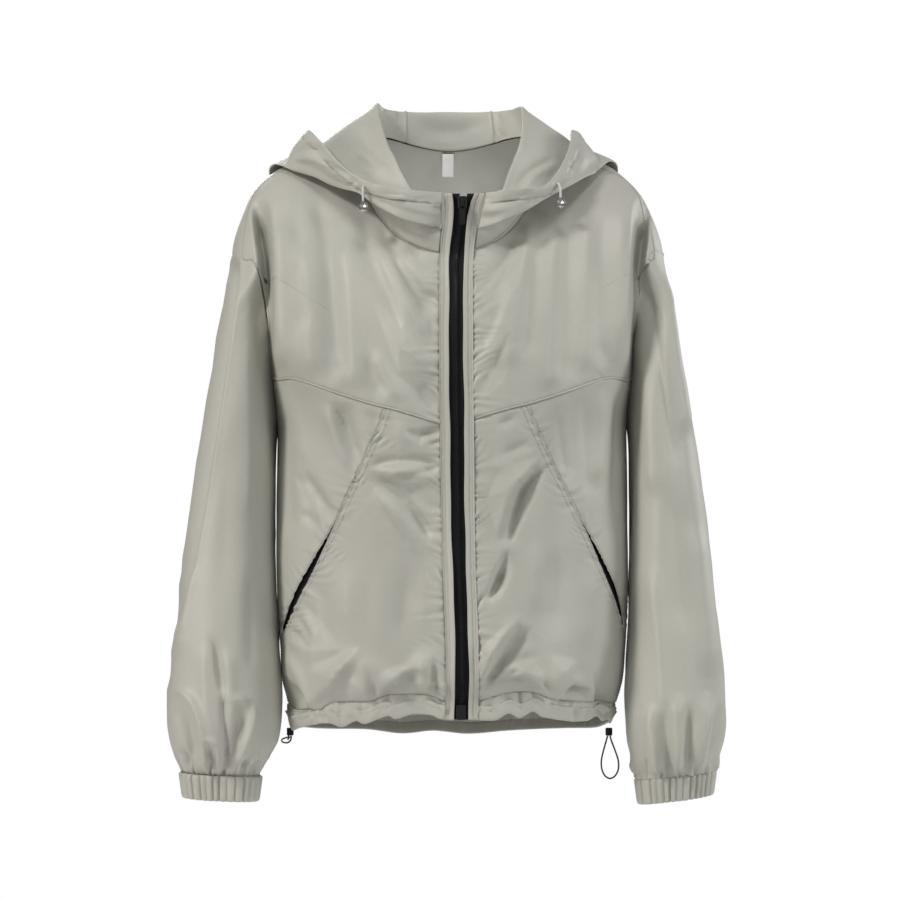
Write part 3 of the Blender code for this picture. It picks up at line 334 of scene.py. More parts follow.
# The zip's height, middle and half width, and the front's heights and depths along it.
ZIP_LINE = [
    (-52, 13.7, 12.0), (-60, 12.6, 9.5), (-74, 11.0, 8.0), (-112, 7.0, 8.0), (-140, 6.0, 8.0),
    (-292, 7.0, 8.0), (-423, 9.0, 7.5), (-524, 12.4, 7.5), (-585, 11.0, 8.0),
]
FRONT_LINE = [
    (-52, -103), (-80, -100.5), (-113, -99), (-137, -111), (-164, -119), (-190, -124), (-212, -127),
    (-240, -130), (-294, -131), (-350, -129.5), (-402, -128), (-455, -127), (-506, -127), (-542, -125),
    (-565, -114), (-585, -113),
]
PLACKET_WIDTH = 9.0
Armhole = namedtuple("Armhole", "z right left")
ARMHOLE = records(
    Armhole,
    (-107, 214, 211), (-117, 202.5, 200), (-138, 192, 194), (-170, 187.5, 191.5), (-205, 185.5, 190),
    (-243, 182.5, 187), (-270, 180, 184),
)
# Distance from the middle and height.
YOKE_SEAM = [
    (0, -289), (50, -273.5), (85, -264.5), (116, -254.5), (150, -242.5), (166, -239.5), (183, -243),
]
Pocket = namedtuple("Pocket", "z right left")
POCKET_SEAM = records(
    Pocket,
    (-269, 66, 78), (-306, 80, 95), (-337, 96, 111), (-366, 107.5, 124), (-392, 119, 137), (-424, 134, 151),
    (-462, 153, 167), (-493, 168, 178),
)
SHOULDER_SEAM = [(0, 97), (1.5, 92), (3, 89)]       # rings and angles
# The pocket's mouth opens from its top on, over a length and to a width.
MOUTH_TOP, MOUTH_LENGTH, MOUTH_WIDTH = -368.0, 95.0, 8.5


def ease(f):
    f = np.clip(f, 0.0, 1.0)
    return f * f * (3 - 2 * f)


def power(value, exponent):
    return np.sign(value) * np.abs(value) ** exponent


def unit(vectors):
    return vectors / np.maximum(np.linalg.norm(vectors, axis=-1, keepdims=True), 1e-9)


def at_height(rows, z):
    """Rows of a table whose first column falls from row to row, read smoothly at each height."""
    heights = -np.array([row[0] for row in rows], float)
    return smooth(rows, np.interp(-np.asarray(z, float), heights, np.arange(len(rows))))


def torso_plain(pairs):
    """mm points of (ring, angle) pairs: the angle is 0 at the zip and +90 at the wearer's left."""
    pairs = np.asarray(pairs, float)
    right, left, side_z, front_y, front_z, back_y, back_z, square, lift = np.moveaxis(
        smooth(TORSO, pairs[..., 0]), -1, 0)
    angle = np.radians(pairs[..., 1])
    s, c = np.sin(angle), np.cos(angle)
    x = np.where(s > 0, left, right) * power(s, 2.0 / square)
    y = np.where(c > 0, front_y, back_y) * np.abs(c) ** (2.0 / square)
    one, two = (front_z - back_z) / 2, (front_z + back_z - 2 * side_z) / 4
    level = (front_z + back_z + 2 * side_z) / 4
    z = level + one * c + two * np.cos(2 * angle) + lift * (np.cos(3 * angle) - c) / 2
    return np.stack([x, y, z], axis=-1)


def torso_normal(pairs):
    pairs = np.array(pairs, float)
    pairs[..., 0] = np.clip(pairs[..., 0], 0.02, HEM_ROW - 0.02)
    down = torso_plain(pairs + (0.02, 0)) - torso_plain(pairs - (0.02, 0))
    across = torso_plain(pairs + (0, 1)) - torso_plain(pairs - (0, 1))
    return unit(np.cross(down, across))


def torso(pairs):
    """The torso with the two long folds, which sink straight back and down."""
    pairs = np.asarray(pairs, float)
    points = torso_plain(pairs)
    x, y, z = np.moveaxis(points, -1, 0)
    row = at_height(TROUGH, z)
    middle = np.where(x > 0, row[..., 2], row[..., 1])
    off = np.abs(np.abs(x) - middle) / row[..., 3]
    along = ease((TROUGH_TOP - z) / (TROUGH_TOP - TROUGH_FULL)) * ease((z - TROUGH_END) / 40.0)
    push = TROUGH_DEPTH * along * ease((1.4 - off) / 1.2)
    push *= (np.abs(pairs[..., 1]) < 89.0) & (z < TROUGH_TOP)
    inward = unit(-torso_normal(pairs) * (0, 1, 1))
    plain = -torso_normal(pairs)[..., 2]
    push = np.minimum(push, np.maximum(-4.0 - y, 0.0) + push * np.abs(plain))
    return points + inward * push[..., None]


def torso_at(x, z, front=True):
    """(ring, angle) pairs that show at x and z from the front or the back, by Newton steps."""
    x, z = np.asarray(x, float), np.asarray(z, float)
    low, high = (0.5, 89.5) if front else (90.5, 179.5)
    pairs = np.stack([np.full(x.shape, 6.0), np.sign(x) * (low + high) / 2], axis=-1)
    for _ in range(80):
        here = torso_plain(pairs)
        by_row = (torso_plain(pairs + (0.01, 0)) - here) / 0.01
        by_turn = (torso_plain(pairs + (0, 0.05)) - here) / 0.05
        a, b, c, d = by_row[..., 0], by_turn[..., 0], by_row[..., 2], by_turn[..., 2]
        det = a * d - b * c
        det = np.where(np.abs(det) < 1e-3, 1e-3, det)
        dx, dz = x - here[..., 0], z - here[..., 2]
        row = pairs[..., 0] + np.clip((d * dx - b * dz) / det, -0.5, 0.5)
        pairs[..., 0] = np.clip(row, 0, HEM_ROW - 0.02)
        turn = pairs[..., 1] + np.clip((a * dz - c * dx) / det, -6, 6)
        pairs[..., 1] = np.sign(x) * np.clip(np.abs(turn), low, high)
    return pairs


def zip_line(z):
    """Middle and half width of the zip, and the depth of the front, at each height."""
    row = at_height(ZIP_LINE, z)
    return row[..., 1], row[..., 2], at_height(FRONT_LINE, z)[..., 1]


def placket_edge(z, side):
    middle, half, _ = zip_line(z)
    return middle + side * (half + PLACKET_WIDTH)


def at_placket(rows, side):
    """(ring, angle) pairs where rings meet the outer edge of the placket."""
    rows = np.asarray(rows, float)
    goal = placket_edge(smooth(TORSO, rows)[..., 4], side)
    low, high = np.full(rows.shape, -40.0), np.full(rows.shape, 40.0)
    for _ in range(30):
        middle = (low + high) / 2
        short = torso_plain(np.stack([rows, middle], axis=-1))[..., 0] < goal
        low, high = np.where(short, middle, low), np.where(short, high, middle)
    return np.stack([rows, low], axis=-1)


class Seams:
    """Seam lines of one side as (ring, angle) rows, shared by the panels that meet there."""

    def __init__(self, side):
        def of_side(row):
            return side * (row.left if side > 0 else row.right)

        arm = [(of_side(row), row.z) for row in ARMHOLE]
        crest = torso_at(*arm[0])
        self.shoulder = np.array([(row, side * angle) for row, angle in SHOULDER_SEAM] + [tuple(crest)])
        self.armpit = np.array([ARMPIT_ROW, side * 90.0])
        self.armhole = torso_at([x for x, _ in arm[:-1]], [z for _, z in arm[:-1]])
        back = torso_at([x - side * 3 for x, _ in arm[1:-1]], [z for _, z in arm[1:-1]], False)
        self.armhole_back = np.vstack([crest, (5.0, side * 90.0), back, self.armpit])
        yoke_x = [x for x, _ in YOKE_SEAM]
        yoke_z = [z for _, z in YOKE_SEAM]

        def on_yoke(x):
            return (x, float(np.interp(abs(x), yoke_x, yoke_z)))

        start, top = on_yoke(float(placket_edge(-288.0, side))), on_yoke(of_side(POCKET_SEAM[0]))
        line = [(side * x, z) for x, z in YOKE_SEAM]
        inner = [p for p in line if abs(start[0]) + 6 < abs(p[0]) < abs(top[0]) - 6]
        outer = [p for p in line if abs(top[0]) + 6 < abs(p[0]) < abs(arm[-2][0]) - 6]
        inner, outer = [start] + inner + [top], [top] + outer + [arm[-2]]
        self.yoke_inner = torso_at(*np.array(even_points(inner, 14)).T)
        self.yoke_outer = torso_at(*np.array(even_points(outer, 14)).T)
        self.yoke_inner[0] = at_placket([self.yoke_inner[0][0]], side)[0]
        pocket = [top] + [(of_side(p), p.z) for p in POCKET_SEAM[1:]]
        low = torso_at(*np.array(even_points(pocket, 5)).T)
        self.pocket = np.vstack([low, (POCKET_LOW_ROW, side * 87.0)])
        self.side_high = np.array([self.armpit, (10.0, side * 90.0), (POCKET_SIDE_ROW, side * 90.0)])
        self.side_low = np.array([(POCKET_SIDE_ROW, side * 90.0), (CASING_ROW, side * 90.0)])


SEAMS = {letter: Seams(side) for letter, side in SIDES.items()}

# Creases are placed where they show, in pixels of the picture: a start, a middle, an end, the width of
# one side and the depth in mm, which is above 0 for a ridge.  Lean widens the side to its right.
Fold = namedtuple("Fold", "start_x start_y middle_x middle_y end_x end_y width depth lean", defaults=(1.0,))
CHEST_FOLDS = records(
    Fold,
    (280, 212, 281, 270, 284, 372, 7, 2), (296, 205, 301, 260, 306, 335, 6, -1.2),
    (301, 236, 307, 290, 313, 382, 8, 1.8), (314, 186, 327, 250, 338, 390, 9, -2.6),
    (343, 230, 350, 300, 356, 393, 8, 2), (364, 208, 382, 278, 440, 352, 9, -2.6),
    (378, 236, 394, 283, 432, 340, 7, 2.1), (380, 220, 404, 268, 441, 313, 6, -2.3),
    (398, 247, 415, 273, 440, 297, 5, 1.6), (405, 240, 421, 259, 441, 272, 5, -1.3),
    (374, 345, 387, 378, 403, 405, 5, 1.9), (363, 350, 374, 378, 388, 400, 6, -1.9),
    (333, 345, 338, 372, 344, 392, 5, 1.3), (424, 380, 431, 398, 443, 416, 7, -1.5),
    (404, 330, 420, 352, 440, 372, 6, 1.3), (622, 204, 620, 260, 617, 372, 7, 2),
    (604, 204, 603, 270, 606, 372, 8, -1.9), (588, 212, 585, 280, 582, 376, 7, 1.3),
    (568, 206, 569, 280, 566, 386, 9, -2.1), (556, 222, 552, 290, 548, 395, 7, 1.7),
    (541, 222, 534, 280, 527, 362, 7, -1.8), (531, 218, 521, 285, 509, 372, 8, 2.3),
    (521, 218, 503, 262, 473, 292, 6, -2.2), (508, 262, 492, 289, 472, 312, 6, 1.6),
    (502, 300, 490, 330, 473, 352, 6, -1.4), (500, 330, 491, 358, 474, 385, 6, 1.2),
)
FRONT_FOLDS = records(
    Fold,
    (339, 402, 346, 435, 361, 468, 7, -2.5), (325, 400, 337, 435, 352, 470, 6, 1.9),
    (368, 406, 374, 418, 383, 432, 4, -1.5), (302, 468, 316, 492, 337, 521, 4, -2.1, 1.6),
    (296, 476, 312, 500, 328, 524, 5, 1.5), (297, 511, 308, 518, 321, 531, 4, -1.7),
    (283, 400, 286, 450, 291, 540, 7, -1.4), (297, 395, 300, 430, 306, 470, 7, 1),
    (364, 468, 404, 460, 443, 466, 4, -2.6, 1.8), (385, 475, 412, 473, 442, 480, 5, 1.7),
    (397, 476, 420, 473, 443, 465, 3, -1.5), (360, 478, 398, 494, 434, 545, 7, -2.7),
    (384, 477, 412, 500, 440, 532, 7, 1.7), (366, 492, 394, 515, 420, 560, 7, 1.4),
    (418, 431, 432, 433, 447, 428, 4, -2), (423, 445, 434, 443, 444, 438, 3, -1.4),
    (392, 420, 404, 436, 412, 450, 6, 1.2), (346, 560, 350, 600, 352, 645, 14, 1.7),
    (405, 556, 404, 600, 398, 652, 12, -1.6), (378, 548, 384, 600, 381, 655, 11, 1.1),
    (424, 556, 426, 600, 424, 642, 9, 1.2), (318, 570, 322, 610, 322, 655, 9, -1.3),
    (362, 647, 344, 668, 326, 693, 5, 2.4), (359, 660, 346, 680, 341, 700, 8, -3.4),
    (362, 651, 365, 675, 369, 700, 4, 2.2), (372, 666, 376, 685, 380, 702, 5, -1.8),
    (432, 645, 410, 668, 384, 692, 5, 2.2), (426, 667, 406, 684, 399, 699, 8, -3.2),
    (416, 680, 424, 690, 430, 702, 4, 2.2), (433, 649, 438, 675, 445, 702, 4, 1.8),
    (430, 666, 434, 685, 440, 702, 4, -2.2), (393, 666, 388, 678, 384, 694, 3.5, 1.8),
    (286, 676, 296, 694, 307, 712, 6, -3.2), (285, 650, 303, 678, 323, 708, 5, 2.2),
    (287, 626, 300, 637, 314, 651, 2.5, -1.6), (294, 611, 303, 626, 312, 643, 2.5, -1.4),
    (301, 600, 309, 610, 316, 622, 3, -1.1), (300, 612, 312, 630, 322, 648, 4, 1.1),
    (549, 465, 522, 494, 508, 550, 6, -2.9, 1.8), (538, 466, 512, 492, 498, 542, 6, 2.1),
    (508, 546, 504, 576, 488, 604, 5, -2.4), (499, 459, 517, 448, 536, 442, 4, -1.5),
    (495, 429, 508, 421, 522, 414, 4, -1.5), (486, 470, 500, 466, 516, 462, 5, 1),
    (560, 396, 563, 440, 572, 487, 8, -1.9), (606, 384, 602, 430, 597, 490, 8, 1.9),
    (583, 390, 586, 440, 590, 500, 7, -1), (617, 385, 616, 440, 612, 540, 6, -1.3),
    (560, 540, 558, 590, 556, 645, 12, -2.1), (535, 536, 532, 580, 530, 622, 10, 1.7),
    (590, 558, 590, 605, 586, 655, 10, 1.4), (530, 624, 505, 652, 485, 694, 6, -3.4),
    (522, 613, 497, 645, 479, 682, 6, 2), (536, 640, 515, 660, 500, 682, 5, 1.9),
    (499, 688, 518, 668, 550, 696, 6, 3.2), (497, 694, 514, 684, 530, 693, 3, -2.6),
    (533, 690, 541, 684, 552, 699, 3, -2), (559, 707, 572, 692, 591, 694, 5, -2.8),
    (555, 701, 572, 684, 593, 686, 5, 2), (594, 688, 599, 700, 605, 716, 3.5, -2.2),
    (511, 565, 498, 584, 485, 603, 4, -2.2), (489, 591, 481, 600, 474, 606, 3, -1.3),
    (473, 640, 480, 648, 486, 662, 3, -1.2), (612, 640, 606, 660, 602, 690, 6, -1.6),
)
BACK_FOLDS = records(
    Fold,
    (318, 236, 326, 330, 330, 520, 13, -3.2), (345, 230, 352, 340, 360, 600, 12, 2.6),
    (377, 240, 384, 350, 380, 560, 13, -2.6), (412, 250, 410, 380, 418, 640, 14, 2.4),
    (446, 262, 452, 400, 448, 600, 12, -2.2), (486, 250, 482, 360, 488, 620, 14, 2.6),
    (520, 240, 512, 350, 520, 560, 12, -2.8), (552, 232, 548, 330, 540, 610, 12, 2.4),
    (582, 236, 577, 330, 570, 540, 12, -3), (290, 300, 316, 350, 356, 390, 8, 2.2),
    (286, 318, 310, 372, 346, 420, 8, -2.6), (612, 300, 586, 352, 548, 392, 8, 2.2),
    (616, 320, 592, 376, 552, 424, 8, -2.6), (300, 480, 306, 560, 312, 660, 10, 2.2),
    (602, 470, 598, 560, 590, 660, 10, 2.2), (340, 640, 334, 670, 326, 702, 6, -3),
    (352, 650, 356, 676, 352, 704, 5, 2.4), (374, 636, 380, 668, 372, 704, 6, -2.8),
    (398, 650, 392, 680, 398, 704, 5, 2.2), (424, 640, 420, 672, 428, 704, 6, -3),
    (446, 655, 452, 680, 446, 706, 5, 2.2), (470, 640, 474, 672, 468, 706, 6, -2.8),
    (494, 652, 490, 680, 498, 706, 5, 2.4), (520, 638, 526, 672, 518, 704, 6, -3),
    (545, 650, 540, 680, 548, 704, 5, 2.2), (566, 640, 574, 672, 566, 702, 6, -2.8),
    (590, 652, 588, 680, 594, 700, 5, 2.2), (312, 655, 308, 680, 314, 700, 5, 2),
)
# Flat-sided crumples: the peak, its height in mm, and the corners round its foot.
Crumple = namedtuple("Crumple", "peak height foot")
CRUMPLES = records(
    Crumple,
    ((338, 672), 3.6, [(361, 647), (323, 694), (300, 700), (306, 668)]),
    ((338, 674), 3.6, [(361, 647), (376, 701), (345, 703), (323, 694)]),
    ((381, 690), 2.6, [(362, 650), (393, 667), (388, 698), (377, 702)]),
    ((394, 680), 3.2, [(393, 666), (381, 696), (396, 700), (414, 690), (412, 667)]),
    ((424, 668), 3.8, [(434, 646), (404, 672), (413, 690), (424, 700), (434, 690)]),
    ((434, 668), -2.2, [(434, 646), (427, 680), (438, 704), (446, 703), (443, 670)]),
    ((296, 690), -3.4, [(283, 674), (300, 684), (322, 706), (302, 712), (285, 708)]),
    ((313, 650), 2.6, [(286, 640), (322, 622), (340, 650), (316, 690)]),
    ((508, 664), -3.6, [(534, 620), (490, 668), (480, 696), (504, 690), (540, 656)]),
    ((492, 652), 3.4, [(522, 612), (478, 650), (476, 690), (492, 680)]),
    ((520, 676), 3.2, [(500, 690), (521, 664), (552, 694), (530, 694)]),
    ((573, 690), -3.4, [(553, 706), (572, 680), (594, 690), (592, 702)]),
    ((560, 672), 2.6, [(545, 690), (552, 655), (578, 660), (578, 682)]),
    ((600, 690), -3, [(592, 672), (614, 664), (612, 710), (597, 704)]),
    ((338, 418), -2.4, [(330, 400), (356, 404), (366, 470), (346, 450)]),
    ((398, 470), 2.6, [(364, 470), (400, 452), (444, 464), (420, 478), (384, 480)]),
    ((410, 494), -3, [(376, 478), (430, 484), (444, 512), (430, 540)]),
    ((396, 510), 2.6, [(366, 482), (410, 500), (432, 548), (404, 540)]),
    ((524, 490), -3.2, [(552, 462), (536, 500), (508, 552), (508, 520), (516, 480)]),
    ((508, 486), 2.8, [(544, 456), (518, 500), (498, 545), (486, 500), (500, 468)]),
    ((500, 576), -2.4, [(510, 546), (506, 590), (484, 606), (492, 570)]),
    ((420, 436), -2, [(400, 430), (446, 424), (446, 434), (420, 446)]),
    ((398, 346), 2.2, [(372, 300), (420, 330), (440, 376), (400, 374)]),
    ((418, 300), -2.4, [(388, 250), (440, 290), (442, 330), (420, 330)]),
    ((404, 318), 2, [(380, 258), (416, 300), (438, 346), (404, 344)]),
    ((494, 290), -2.2, [(520, 250), (504, 300), (474, 318), (474, 292)]),
    ((500, 324), 2, [(518, 280), (516, 340), (476, 372), (474, 330)]),
    ((496, 366), -1.8, [(510, 330), (508, 380), (476, 404), (474, 376)]),
    ((420, 392), -2, [(392, 372), (440, 372), (444, 412), (420, 408)]),
    ((310, 500), -2, [(292, 470), (320, 488), (334, 524), (306, 520)]),
)
# Small puckers that stand on a stitched line: its way in pixels, the spacing and the length of the
# puckers, their depth in mm, and the side on which they lie, which is 1 to the right of the line's way.
Pucker = namedtuple("Pucker", "way spacing length depth side")
RIGHT_POCKET_WAY = [(384, 411), (368, 452), (354, 477), (343, 507), (331, 533), (318, 560), (282, 630)]
LEFT_POCKET_WAY = [(526, 406), (544, 444), (560, 475), (572, 502), (585, 527), (599, 560), (627, 630)]
PUCKERS = records(
    Pucker,
    ([(442, 205), (441, 276), (441, 430), (443, 560), (447, 660), (445, 702)], 9.5, 13, 1.25, 1),
    ([(471, 215), (471, 280), (471, 430), (473, 560), (477, 660), (476, 702)], 8.5, 11, 1.35, -1),
    (RIGHT_POCKET_WAY, 8, 10, 1.2, 1),
    (RIGHT_POCKET_WAY, 7.4, 10, 1.3, -1),
    (LEFT_POCKET_WAY, 8, 8, 1, 1),
    (LEFT_POCKET_WAY, 7.2, 8, 1, -1),
    ([(274, 383), (296, 381), (336, 394), (400, 412), (444, 426)], 10, 6, 0.4, -1),
    ([(470, 425), (526, 406), (565, 392), (598, 381), (628, 376)], 10, 6, 0.4, -1),
)


def along_line(line, px, py):
    """Distance to a line of pixels, the share of its length at the nearest place, and the side of it."""
    line = np.asarray(line, float)
    steps = np.diff(line, axis=0)
    lengths = np.linalg.norm(steps, axis=1)
    starts = run_along(line)
    best = np.full(px.shape, 1e9)
    share, side = np.zeros(px.shape), np.zeros(px.shape)
    for a, step, length, start in zip(line, steps, lengths, starts):
        rx, ry = px - a[0], py - a[1]
        f = np.clip((rx * step[0] + ry * step[1]) / length ** 2, 0.0, 1.0)
        away = np.hypot(rx - f * step[0], ry - f * step[1])
        nearer = away < best
        best = np.where(nearer, away, best)
        share = np.where(nearer, (start + f * length) / starts[-1], share)
        side = np.where(nearer, np.sign(rx * step[1] - ry * step[0]), side)
    return best, share, -side


def fold_depths(folds, px, py, wider=1.0):
    """Depth in mm of all the folds at each pixel place."""
    total = np.zeros(px.shape)
    for fold in folds:
        a, b, c = np.array(fold[:6], float).reshape(3, 2)
        t = np.linspace(0, 1, 11)[:, None]
        line = a * (1 - t) ** 2 + (4 * b - a - c) / 2 * 2 * t * (1 - t) + c * t * t
        reach = 2.4 * fold.width * wider * max(fold.lean, 1.0)
        low, high = line.min(axis=0) - reach, line.max(axis=0) + reach
        near = (px > low[0]) & (px < high[0]) & (py > low[1]) & (py < high[1])
        if not near.any():
            continue
        away, share, side = along_line(line, px[near], py[near])
        width = np.where(side > 0, fold.width * fold.lean, fold.width)
        length = np.linalg.norm(np.diff(line, axis=0), axis=1).sum()
        starting, ending = min(3 * fold.width + 6, 0.45 * length), min(2.5 * fold.width + 5, 0.45 * length)
        taper = ease(share * length / starting) * ease((1 - share) * length / ending)
        total[near] += fold.depth * taper * np.exp(-(away / (width * wider)) ** 1.6)
    return total


def crumple_heights(crumples, px, py):
    """Height in mm of flat-sided crumples, whose sides fall straight from the peak to the foot."""
    total = np.zeros(px.shape)
    for crumple in crumples:
        (cx, cy), corners = crumple.peak, crumple.foot
        height = np.zeros(px.shape)
        for (ax, ay), (bx, by) in zip(corners, corners[1:] + corners[:1]):
            area = (ax - cx) * (by - cy) - (bx - cx) * (ay - cy)
            by_a = ((px - cx) * (by - cy) - (bx - cx) * (py - cy)) / area
            by_b = ((ax - cx) * (py - cy) - (px - cx) * (ay - cy)) / area
            inside = (by_a >= -1e-6) & (by_b >= -1e-6)
            height = np.where(inside, np.maximum(height, 1 - by_a - by_b), height)
        total += crumple.height * height
    return total


def pucker_depths(puckers, px, py):
    """Depth in mm of the puckers, each row of them with its own rhythm."""
    total = np.zeros(px.shape)
    for k, pucker in enumerate(puckers):
        away, share, side = along_line(pucker.way, px, py)
        length = np.linalg.norm(np.diff(np.array(pucker.way, float), axis=0), axis=1).sum()
        run = share * length / pucker.spacing
        slant = run + away / pucker.spacing * (0.35 + 0.5 * np.sin(run * 0.7 + 1.7 * k))
        wave = np.sin(2 * np.pi * slant + 1.9 * np.sin(run * 1.7 + k) + 1.1 * np.sin(run * 0.61 + 2 * k))
        uneven = 0.55 + 0.45 * np.sin(run * 2.3 + k) * np.sin(run * 0.37 + 1.3 * k)
        stretch = pucker.length * (0.7 + 0.5 * np.sin(run * 1.13 + 2.1 * k) ** 2)
        ends = ease(share * length / 8) * ease((1 - share) * length / 8)
        fade = np.exp(-away / stretch) * ease(away / 1.5)
        total += np.where(side == pucker.side, pucker.depth * wave * uneven * fade * ends, 0.0)
    return total


def unevenness(points, depth):
    """Slight waviness that any light cloth has, from a few long waves."""
    x, y, z = np.moveaxis(points, -1, 0)
    return depth * (np.sin(x / 11.3 + 1.7 * np.sin(z / 41.0)) * np.sin(z / 23.7 + y / 17.0)
                    + 0.7 * np.sin(x / 7.1 - z / 15.3 + 2.0) * np.sin(y / 9.7 + z / 31.0))


def shares_of(length, step, near=(0.8, 1.7, 3.2)):
    """Shares of a length at even steps, with closer lines by both ends, in mm."""
    count = max(int(round(length / step)), 2)
    inner = np.linspace(near[-1] + step / 2, length - near[-1] - step / 2, count)
    return np.concatenate([[0.0], near, inner, length - np.array(near[::-1]), [length]]) / length


def crossing(left, top, right, bottom, down, across):
    """Grid of (ring, angle) pairs between four sides: left and right run down, top and bottom across."""
    left, right = (even_points(edge, down, torso_plain) for edge in (left, right))
    top, bottom = (even_points(edge, across, torso_plain) for edge in (top, bottom))
    v, u = down[:, None, None], across[None, :, None]
    corners = (top[0] * (1 - u) + top[-1] * u) * (1 - v) + (bottom[0] * (1 - u) + bottom[-1] * u) * v
    return left[:, None] * (1 - u) + right[:, None] * u + top[None] * (1 - v) + bottom[None] * v - corners


def grid_normals(grid, closed=False):
    down = np.gradient(grid, axis=0)
    if closed:
        across = np.roll(grid, -1, axis=1) - np.roll(grid, 1, axis=1)
    else:
        across = np.gradient(grid, axis=1)
    return unit(np.cross(down, across))


def line_runs(grid, axis):
    """How far each point of a grid lies along its line from the grid's first row or column."""
    first = np.take(grid, [0], axis=axis)
    return np.cumsum(np.linalg.norm(np.diff(grid, axis=axis, prepend=first), axis=-1), axis=axis)


TUCK = {0: 1.25, 1: 0.45, 2: 0.1}       # line from a sewn edge, and how deep it is drawn in, in mm
LAP = {0: -0.2, 1: -0.85, 2: -0.85, 3: 0.35}        # the same for an edge that lies over its neighbour
TUCK_UNDER = 0.7                        # what the cloth reaches under its neighbour at a seam
NYLON = 0.5                             # thickness of the finished cloth


def tucked(grid, normals, sides, closed=False):
    """Draws the sewn sides of a grid in and under; sides holds letters of top, bottom, left and right.

    A capital is a side that is folded double, laps over its neighbour and is stitched down.
    """
    grid = grid.copy()
    views = {"t": (grid, normals), "b": (grid[::-1], normals[::-1])}
    if not closed:
        views["l"] = (grid.swapaxes(0, 1), normals.swapaxes(0, 1))
        views["r"] = (grid[:, ::-1].swapaxes(0, 1), normals[:, ::-1].swapaxes(0, 1))
    for letter in sides:
        lines, outward = views[letter.lower()]
        lapped = letter.isupper()
        beyond = unit(lines[0] - lines[1]) * (0.0 if lapped else TUCK_UNDER)
        for k, depth in (LAP if lapped else TUCK).items():
            lines[k] -= outward[k] * depth
        lines[0] += beyond
    return grid


def shell(name, grid, material, thickness=NYLON, closed=False, normals=None, holes=()):
    """A thin closed cloth wall on a grid of mm points, with a map in metres along and across the cloth.

    Holes are (row, column) cells of the grid that are left out, with a rim round them.
    """
    normals = grid_normals(grid, closed) if normals is None else normals
    rows, columns = grid.shape[:2]
    if closed:
        grid = np.concatenate([grid, grid[:, :1]], axis=1)
        normals = np.concatenate([normals, normals[:, :1]], axis=1)
        columns += 1
    layers = [(grid + normals * thickness * k).reshape(-1, 3) for k in (0.5, -0.5)]
    size = rows * columns
    number = np.arange(size).reshape(rows, columns)
    cells = np.stack([number[:-1, :-1], number[1:, :-1], number[1:, 1:], number[:-1, 1:]], axis=-1)
    kept = np.ones((rows - 1, columns - 1), bool)
    for cell in holes:
        kept[cell] = False
    quads = cells[kept]
    faces = [quads, quads[:, ::-1] + size]
    for i, j in holes:
        beside = [(i, j - 1), (i + 1, j), (i, j + 1), (i - 1, j)]
        for k, other in enumerate(beside):
            if kept[other]:
                a, b = cells[i, j, k], cells[i, j, (k + 1) % 4]
                faces.append(np.array([[a, b, b + size, a + size]]))
    rims = [number[0], number[-1][::-1]] + ([] if closed else [number[:, -1], number[:, 0][::-1]])
    for rim in rims:
        faces.append(np.stack([rim[:-1], rim[1:], rim[1:] + size, rim[:-1] + size], axis=-1))
    mesh = bpy.data.meshes.new(name)
    mesh.from_pydata((np.concatenate(layers) * MM).tolist(), [], np.concatenate(faces).tolist())
    mesh.shade_smooth()
    flat = np.stack([line_runs(grid, 1), line_runs(grid, 0)], axis=-1).reshape(-1, 2)
    flat = np.tile(flat * MM, (2, 1))
    corners = np.empty(len(mesh.loops), dtype=np.int32)
    mesh.loops.foreach_get("vertex_index", corners)
    mesh.uv_layers.new(name="cloth").data.foreach_set("uv", flat[corners].ravel())
    mesh.materials.append(material)
    if closed:
        solid = bmesh.new()
        solid.from_mesh(mesh)
        bmesh.ops.remove_doubles(solid, verts=solid.verts[:], dist=1e-6)
        solid.to_mesh(mesh)
        solid.free()
    return linked(name, mesh)


def nylon(name, light, dark):
    """Smooth nylon, very fine plain weave, soft shine; faint bands and warm patches are painted light and
    reflection.
    """
    recipe = Recipe(name, Sheen_Weight=0.12, Sheen_Roughness=0.5, Specular_IOR_Level=0.42)
    across, down, _ = recipe.split(recipe.cloth_map())
    weave = (across * 9000.0).sine() * (down * 9000.0).sine()
    # Long upright bands of painted light and reflection, laid into the colour as lighter and darker cloth.
    painted_light_bands = recipe.noise(recipe.place(), 9.0, 2.0, stretch=(1.5, 1.5, 0.28))
    grain = recipe.noise(recipe.place(), 260.0, 3.0)
    # The tone mixes the painted light bands with the cloth's own fine random grain. It also sets the
    # roughness.
    tone = (painted_light_bands * 0.8 + grain * 0.2).within(0.3, 0.7)
    colour = recipe.mix(tone, (*dark, 1.0), (*light, 1.0))
    # Warm patches of painted light and reflection, mixed into the colour.
    painted_warm_light = recipe.noise(recipe.place(), 5.0, 1.0, stretch=(1.6, 1.6, 0.4)).within(0.45, 0.75)
    colour = recipe.mix(painted_warm_light * 0.35, colour, (0.47, 0.44, 0.405, 1.0))
    crumple = recipe.noise(recipe.place(), 55.0, 4.0)
    surface = recipe.bump(crumple, 0.12, 0.0015)
    surface = recipe.bump(weave, 0.10, 0.00006, under=surface)
    return recipe.finish(Base_Color=colour, Roughness=tone * -0.07 + 0.50, Normal=surface)


shell_nylon = nylon("shell_nylon", (0.472, 0.466, 0.406), (0.408, 0.402, 0.352))
PANEL_STEP, BACK_STEP = 2.4, 3.8        # mm between the lines of a panel's grid

